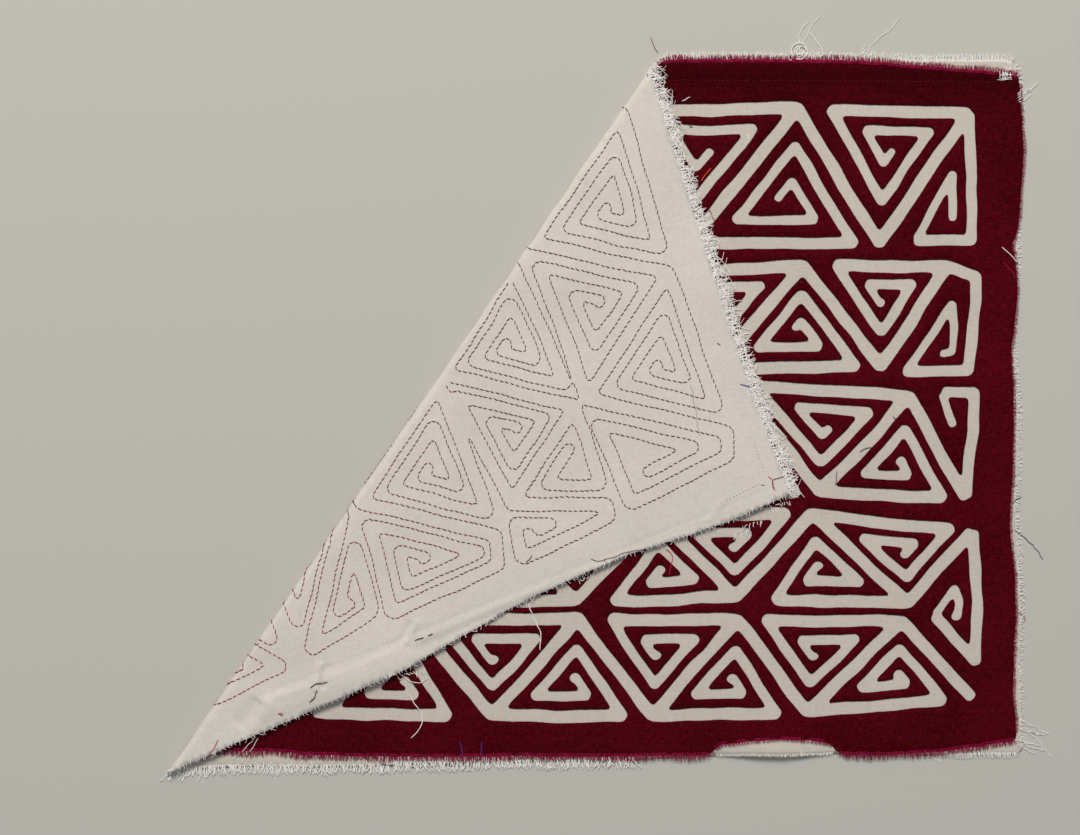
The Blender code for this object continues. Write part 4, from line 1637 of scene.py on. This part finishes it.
TUFTS: tuple[Tuft | Seam, ...] = (
    Tuft(Dye.CREAM, 0.45, (1017, 92), (1019, 103), (25, -12), 5, 1, 2.6),
    Tuft(Dye.CREAM, 0.40, (789, 55), (807, 54), (2, -8), 6, 2, 2.2),
    Tuft(Dye.CREAM, 0.45, (790, 56), (805, 56), (0, 3), 8, 19, 2.2),
    Tuft(Dye.CREAM, 0.40, (860, 55), (872, 54), (6, -7), 5, 3, 3.0),
    Tuft(Dye.CREAM, 0.40, (768, 508), (790, 500), (2, 5), 10, 4, 1.8),
    Tuft(Dye.CREAM, 0.40, (742, 527), (763, 519), (-1, 5), 10, 5, 1.8),
    Tuft(Dye.CREAM, 0.40, (733, 533), (752, 528), (-2, 6), 6, 6, 1.8),
    Tuft(Dye.CREAM, 0.45, (396, 676), (424, 668), (6, 5), 9, 7, 2.6),
    Tuft(Dye.CREAM, 0.40, (574, 581), (592, 573), (1, 5), 7, 8, 1.5),
    Tuft(Dye.CREAM, 0.50, (170, 768), (216, 766), (-3, 13), 18, 9, 2.4),
    Tuft(Dye.CREAM, 0.45, (168, 770), (196, 772), (-10, 12), 9, 10, 2.0),
    Tuft(Dye.CREAM, 0.45, (240, 762), (560, 758), (1, 9), 34, 11, 2.2),
    Tuft(Dye.CREAM, 0.40, (690, 757), (712, 757), (0, 5), 5, 12, 1.6),
    Tuft(Dye.CREAM, 0.45, (1017, 722), (1017, 746), (24, 8), 6, 13, 3.5),
    Tuft(Dye.CREAM, 0.40, (928, 755), (942, 755), (2, 9), 6, 14, 2.0),
    Tuft(Dye.CREAM, 0.40, (1000, 68), (1012, 66), (0, 12), 8, 15, 0.5),
    Tuft(Dye.CREAM, 0.40, (1012, 68), (1012, 80), (-13, 0), 7, 16, 0.5),
    Tuft(Dye.CREAM, 0.40, (706, 236), (748, 350), (7, 1), 18, 17, 2.0),
    Tuft(Dye.CREAM, 0.40, (749, 362), (790, 480), (7, 1), 20, 18, 2.2),
    Seam(Dye.SEAM_RED, 0.34, (668, 80), (1010, 82), 1.6, 2.6),
    Seam(Dye.SEAM_WINE, 0.34, (1001, 96), (1003, 735), 1.6, 3.4),
    Seam(Dye.NEEDLE_MARK, 0.34, (720, 503), (760, 483), 0.9, 2.6),
    Seam(Dye.NEEDLE_MARK, 0.34, (754, 444), (764, 471), 0.9, 2.6),
)


# The thread ends along each side, from how dense and long they look there
BASE_FRAYS: tuple[Fray, ...] = (
    Fray("base_fray_far_folded", Side.FAR, (-0.199, 0.031), length=7.0, spacing=0.40, radius=0.21,
         curl=0.30, height=0.46, lift=-0.2, seed=41, root=1.6),
    Fray("base_fray_far_long", Side.FAR, (-0.199, 0.031), length=8.4, spacing=1.6, radius=0.19,
         curl=0.75, height=0.30, lift=-0.5, seed=49),
    Fray("base_fray_far_lying", Side.FAR, (0.034, 0.212), length=3.0, spacing=0.48, radius=0.22,
         curl=0.22, height=0.45, lift=0.5, seed=42, root=1.6),
    Fray("base_fray_left", Side.LEFT, (-0.178, 0.160), length=1.5, spacing=2.3, radius=0.15,
         curl=0.80, height=0.24, lift=-0.1, seed=43, root=0.9),
    Fray("base_fray_right", Side.RIGHT, (-0.168, 0.175), length=2.3, spacing=0.50, radius=0.16,
         curl=0.6, height=0.42, lift=0.3, seed=44, root=1.2),
    Fray("base_fray_near", Side.NEAR, (-0.213, 0.020), length=4.2, spacing=0.55, radius=0.24,
         curl=0.45, height=0.42, lift=0.6, seed=45, root=1.6),
    Fray("base_fray_near_arch", Side.NEAR, (0.060, 0.119), length=0.9, spacing=0.60, radius=0.20,
         curl=0.35, height=0.42, lift=0.3, seed=52),
    Fray("base_fray_near_corner", Side.NEAR, (0.172, 0.214), length=1.3, spacing=0.55, radius=0.22,
         curl=0.25, height=0.42, lift=0.3, seed=53, root=2.4),
)
TOP_FRAYS: tuple[Fray, ...] = (
    Fray("top_fray_far", Side.FAR, (0.022, 0.212), length=2.8, spacing=0.24, radius=0.18,
         curl=0.14, height=1.36, lift=0.2, seed=46, root=1.3),
    Fray("top_fray_near", Side.NEAR, (-0.206, 0.056), length=3.2, spacing=0.26, radius=0.18,
         curl=0.26, height=1.36, lift=0.2, seed=47, root=1.3),
    Fray("top_fray_near_arch", Side.NEAR, (0.0562, 0.124), length=1.7, spacing=0.30, radius=0.17,
         curl=0.30, height=1.30, lift=0.2, seed=54, root=1.3),
    Fray("top_fray_near_corner", Side.NEAR, (0.1242, 0.210), length=2.8, spacing=0.26, radius=0.18,
         curl=0.26, height=1.36, lift=0.2, seed=55, root=1.3),
    Fray("top_fray_right", Side.RIGHT, (-0.160, 0.165), length=1.5, spacing=0.36, radius=0.16,
         curl=0.5, height=1.1, lift=0.3, seed=48),
)
LOOSE_WEAVE = LooseWeave("loose_weave_far", (-0.199, 0.026), offsets=(0.7, 1.7, 2.9, 4.0), seed=51)


@dataclass(frozen=True)
class Studio:
    """The pale table, the soft light from the far side, and the camera that looks straight down."""

    table_half: float = 9.0
    table_colour: str = "#c6c5bf"
    sky_colour: str = "#e9edf2"
    sky_strength: float = 0.31
    lamp_size: float = 1.0
    lamp_power: float = 80.0
    lamp_colour: str = "#fff8ef"
    lamp_place: tuple[float, float, float] = (-0.35, 2.05, 2.38)
    lens_mm: float = 80.0
    sensor_mm: float = 36.0
    camera_pixel: Pair = (540.0, 417.5)
    camera_height: float = 1.202

    def add_table(self) -> None:
        """Lays the table under the panel."""
        half = self.table_half
        mesh = bpy.data.meshes.new("table")
        corners = [(-half, -half, 0.0), (half, -half, 0.0), (half, half, 0.0), (-half, half, 0.0)]
        mesh.from_pydata(corners, [], [(0, 1, 2, 3)])
        mesh.materials.append(PaintedBoard("matt_pale_board", self.table_colour).material())
        table = bpy.data.objects.new("table", mesh)
        bpy.context.scene.collection.objects.link(table)

    def add_light(self) -> None:
        """Sets the even light of the room and the lamp, which points at the panel's middle."""
        world = bpy.data.worlds.new("studio")
        world.use_nodes = True
        sky = world.node_tree.nodes["Background"].inputs
        sky["Color"].default_value = linear(self.sky_colour)
        sky["Strength"].default_value = self.sky_strength
        bpy.context.scene.world = world
        lamp = bpy.data.lights.new("window_light", "AREA")
        lamp.size = self.lamp_size
        lamp.energy = self.lamp_power
        lamp.color = linear(self.lamp_colour)[:3]
        light = bpy.data.objects.new("window_light", lamp)
        light.location = self.lamp_place
        light.rotation_euler = (-Vector(self.lamp_place)).to_track_quat("-Z", "Y").to_euler()
        bpy.context.scene.collection.objects.link(light)

    def add_camera(self, shift: Pair) -> None:
        """Hangs the camera over the photograph's middle, moved as the panel is by the fold's shift."""
        lens = bpy.data.cameras.new("camera")
        lens.lens = self.lens_mm
        lens.sensor_width = self.sensor_mm
        camera = bpy.data.objects.new("camera", lens)
        middle = place_of(*self.camera_pixel)
        camera.location = (middle[0] - shift[0], middle[1] - shift[1], self.camera_height)
        bpy.context.scene.collection.objects.link(camera)
        bpy.context.scene.camera = camera

    def build(self, fold: Fold) -> None:
        """Makes the table, the light and the camera."""
        self.add_table()
        self.add_light()
        self.add_camera(fold.shift)
        bpy.context.scene.view_settings.view_transform = "Standard"


def main() -> None:
    """Builds the panel's pieces in order, then the studio."""
    logging.basicConfig(level=logging.INFO, format="%(message)s")
    fold = Fold(creases=pressed_creases(Fold()))
    cuts = Field().cut_channels(PATTERN.channels(), HandCut())
    base_edge = smooth_outline(BASE_EDGE, 0.8 * MM, 0.22 * MM, 3)
    top_edge = smooth_outline(TOP_EDGE, 0.8 * MM, 0.25 * MM, 9)
    top_cut = Field()
    top_cut.values = cuts.values.copy()
    base = Cloth("base_sheet", "base_cloth", "natural_cotton", Field().trim(base_edge),
                 low=0.20 * MM, thickness=0.42 * MM, rounding=0.6 * MM, edge_spacing=1.0 * MM,
                 inner_spacing=2.5 * MM, finish=NATURAL, fold=fold, face_finish=NATURAL_FACE).build()
    top = Cloth("top_sheet", "top_cloth", "wine_red_cotton", top_cut.trim(top_edge),
                low=0.70 * MM, thickness=0.62 * MM, rounding=0.8 * MM, edge_spacing=1.35 * MM,
                inner_spacing=4.0 * MM, finish=WINE, fold=fold, shoulder=0.55 * MM,
                pucker=0.10 * MM).build()
    stitches = Stitching(cuts, fold, SEWING).build()
    base_raw = RawEdge(base_edge, FRAYED_NATURAL, "natural_cotton", fold)
    top_raw = RawEdge(top_edge, FRAYED_WINE, "wine_red_cotton", fold)
    base_trims = [fray.build(base_raw) for fray in BASE_FRAYS]
    top_trims = [fray.build(top_raw) for fray in TOP_FRAYS]
    base_trims += [LOOSE_WEAVE.build(base_raw), *stitches]
    bunches = [strand for bunch in TUFTS for strand in bunch.strands()]
    strays = StrayThreads((*STRANDS, *bunches), fold, [base, top]).build()
    LOG.info("stray threads: %d pieces", len(strays))
    Studio().build(fold)


if __name__ == "__main__":
    main()
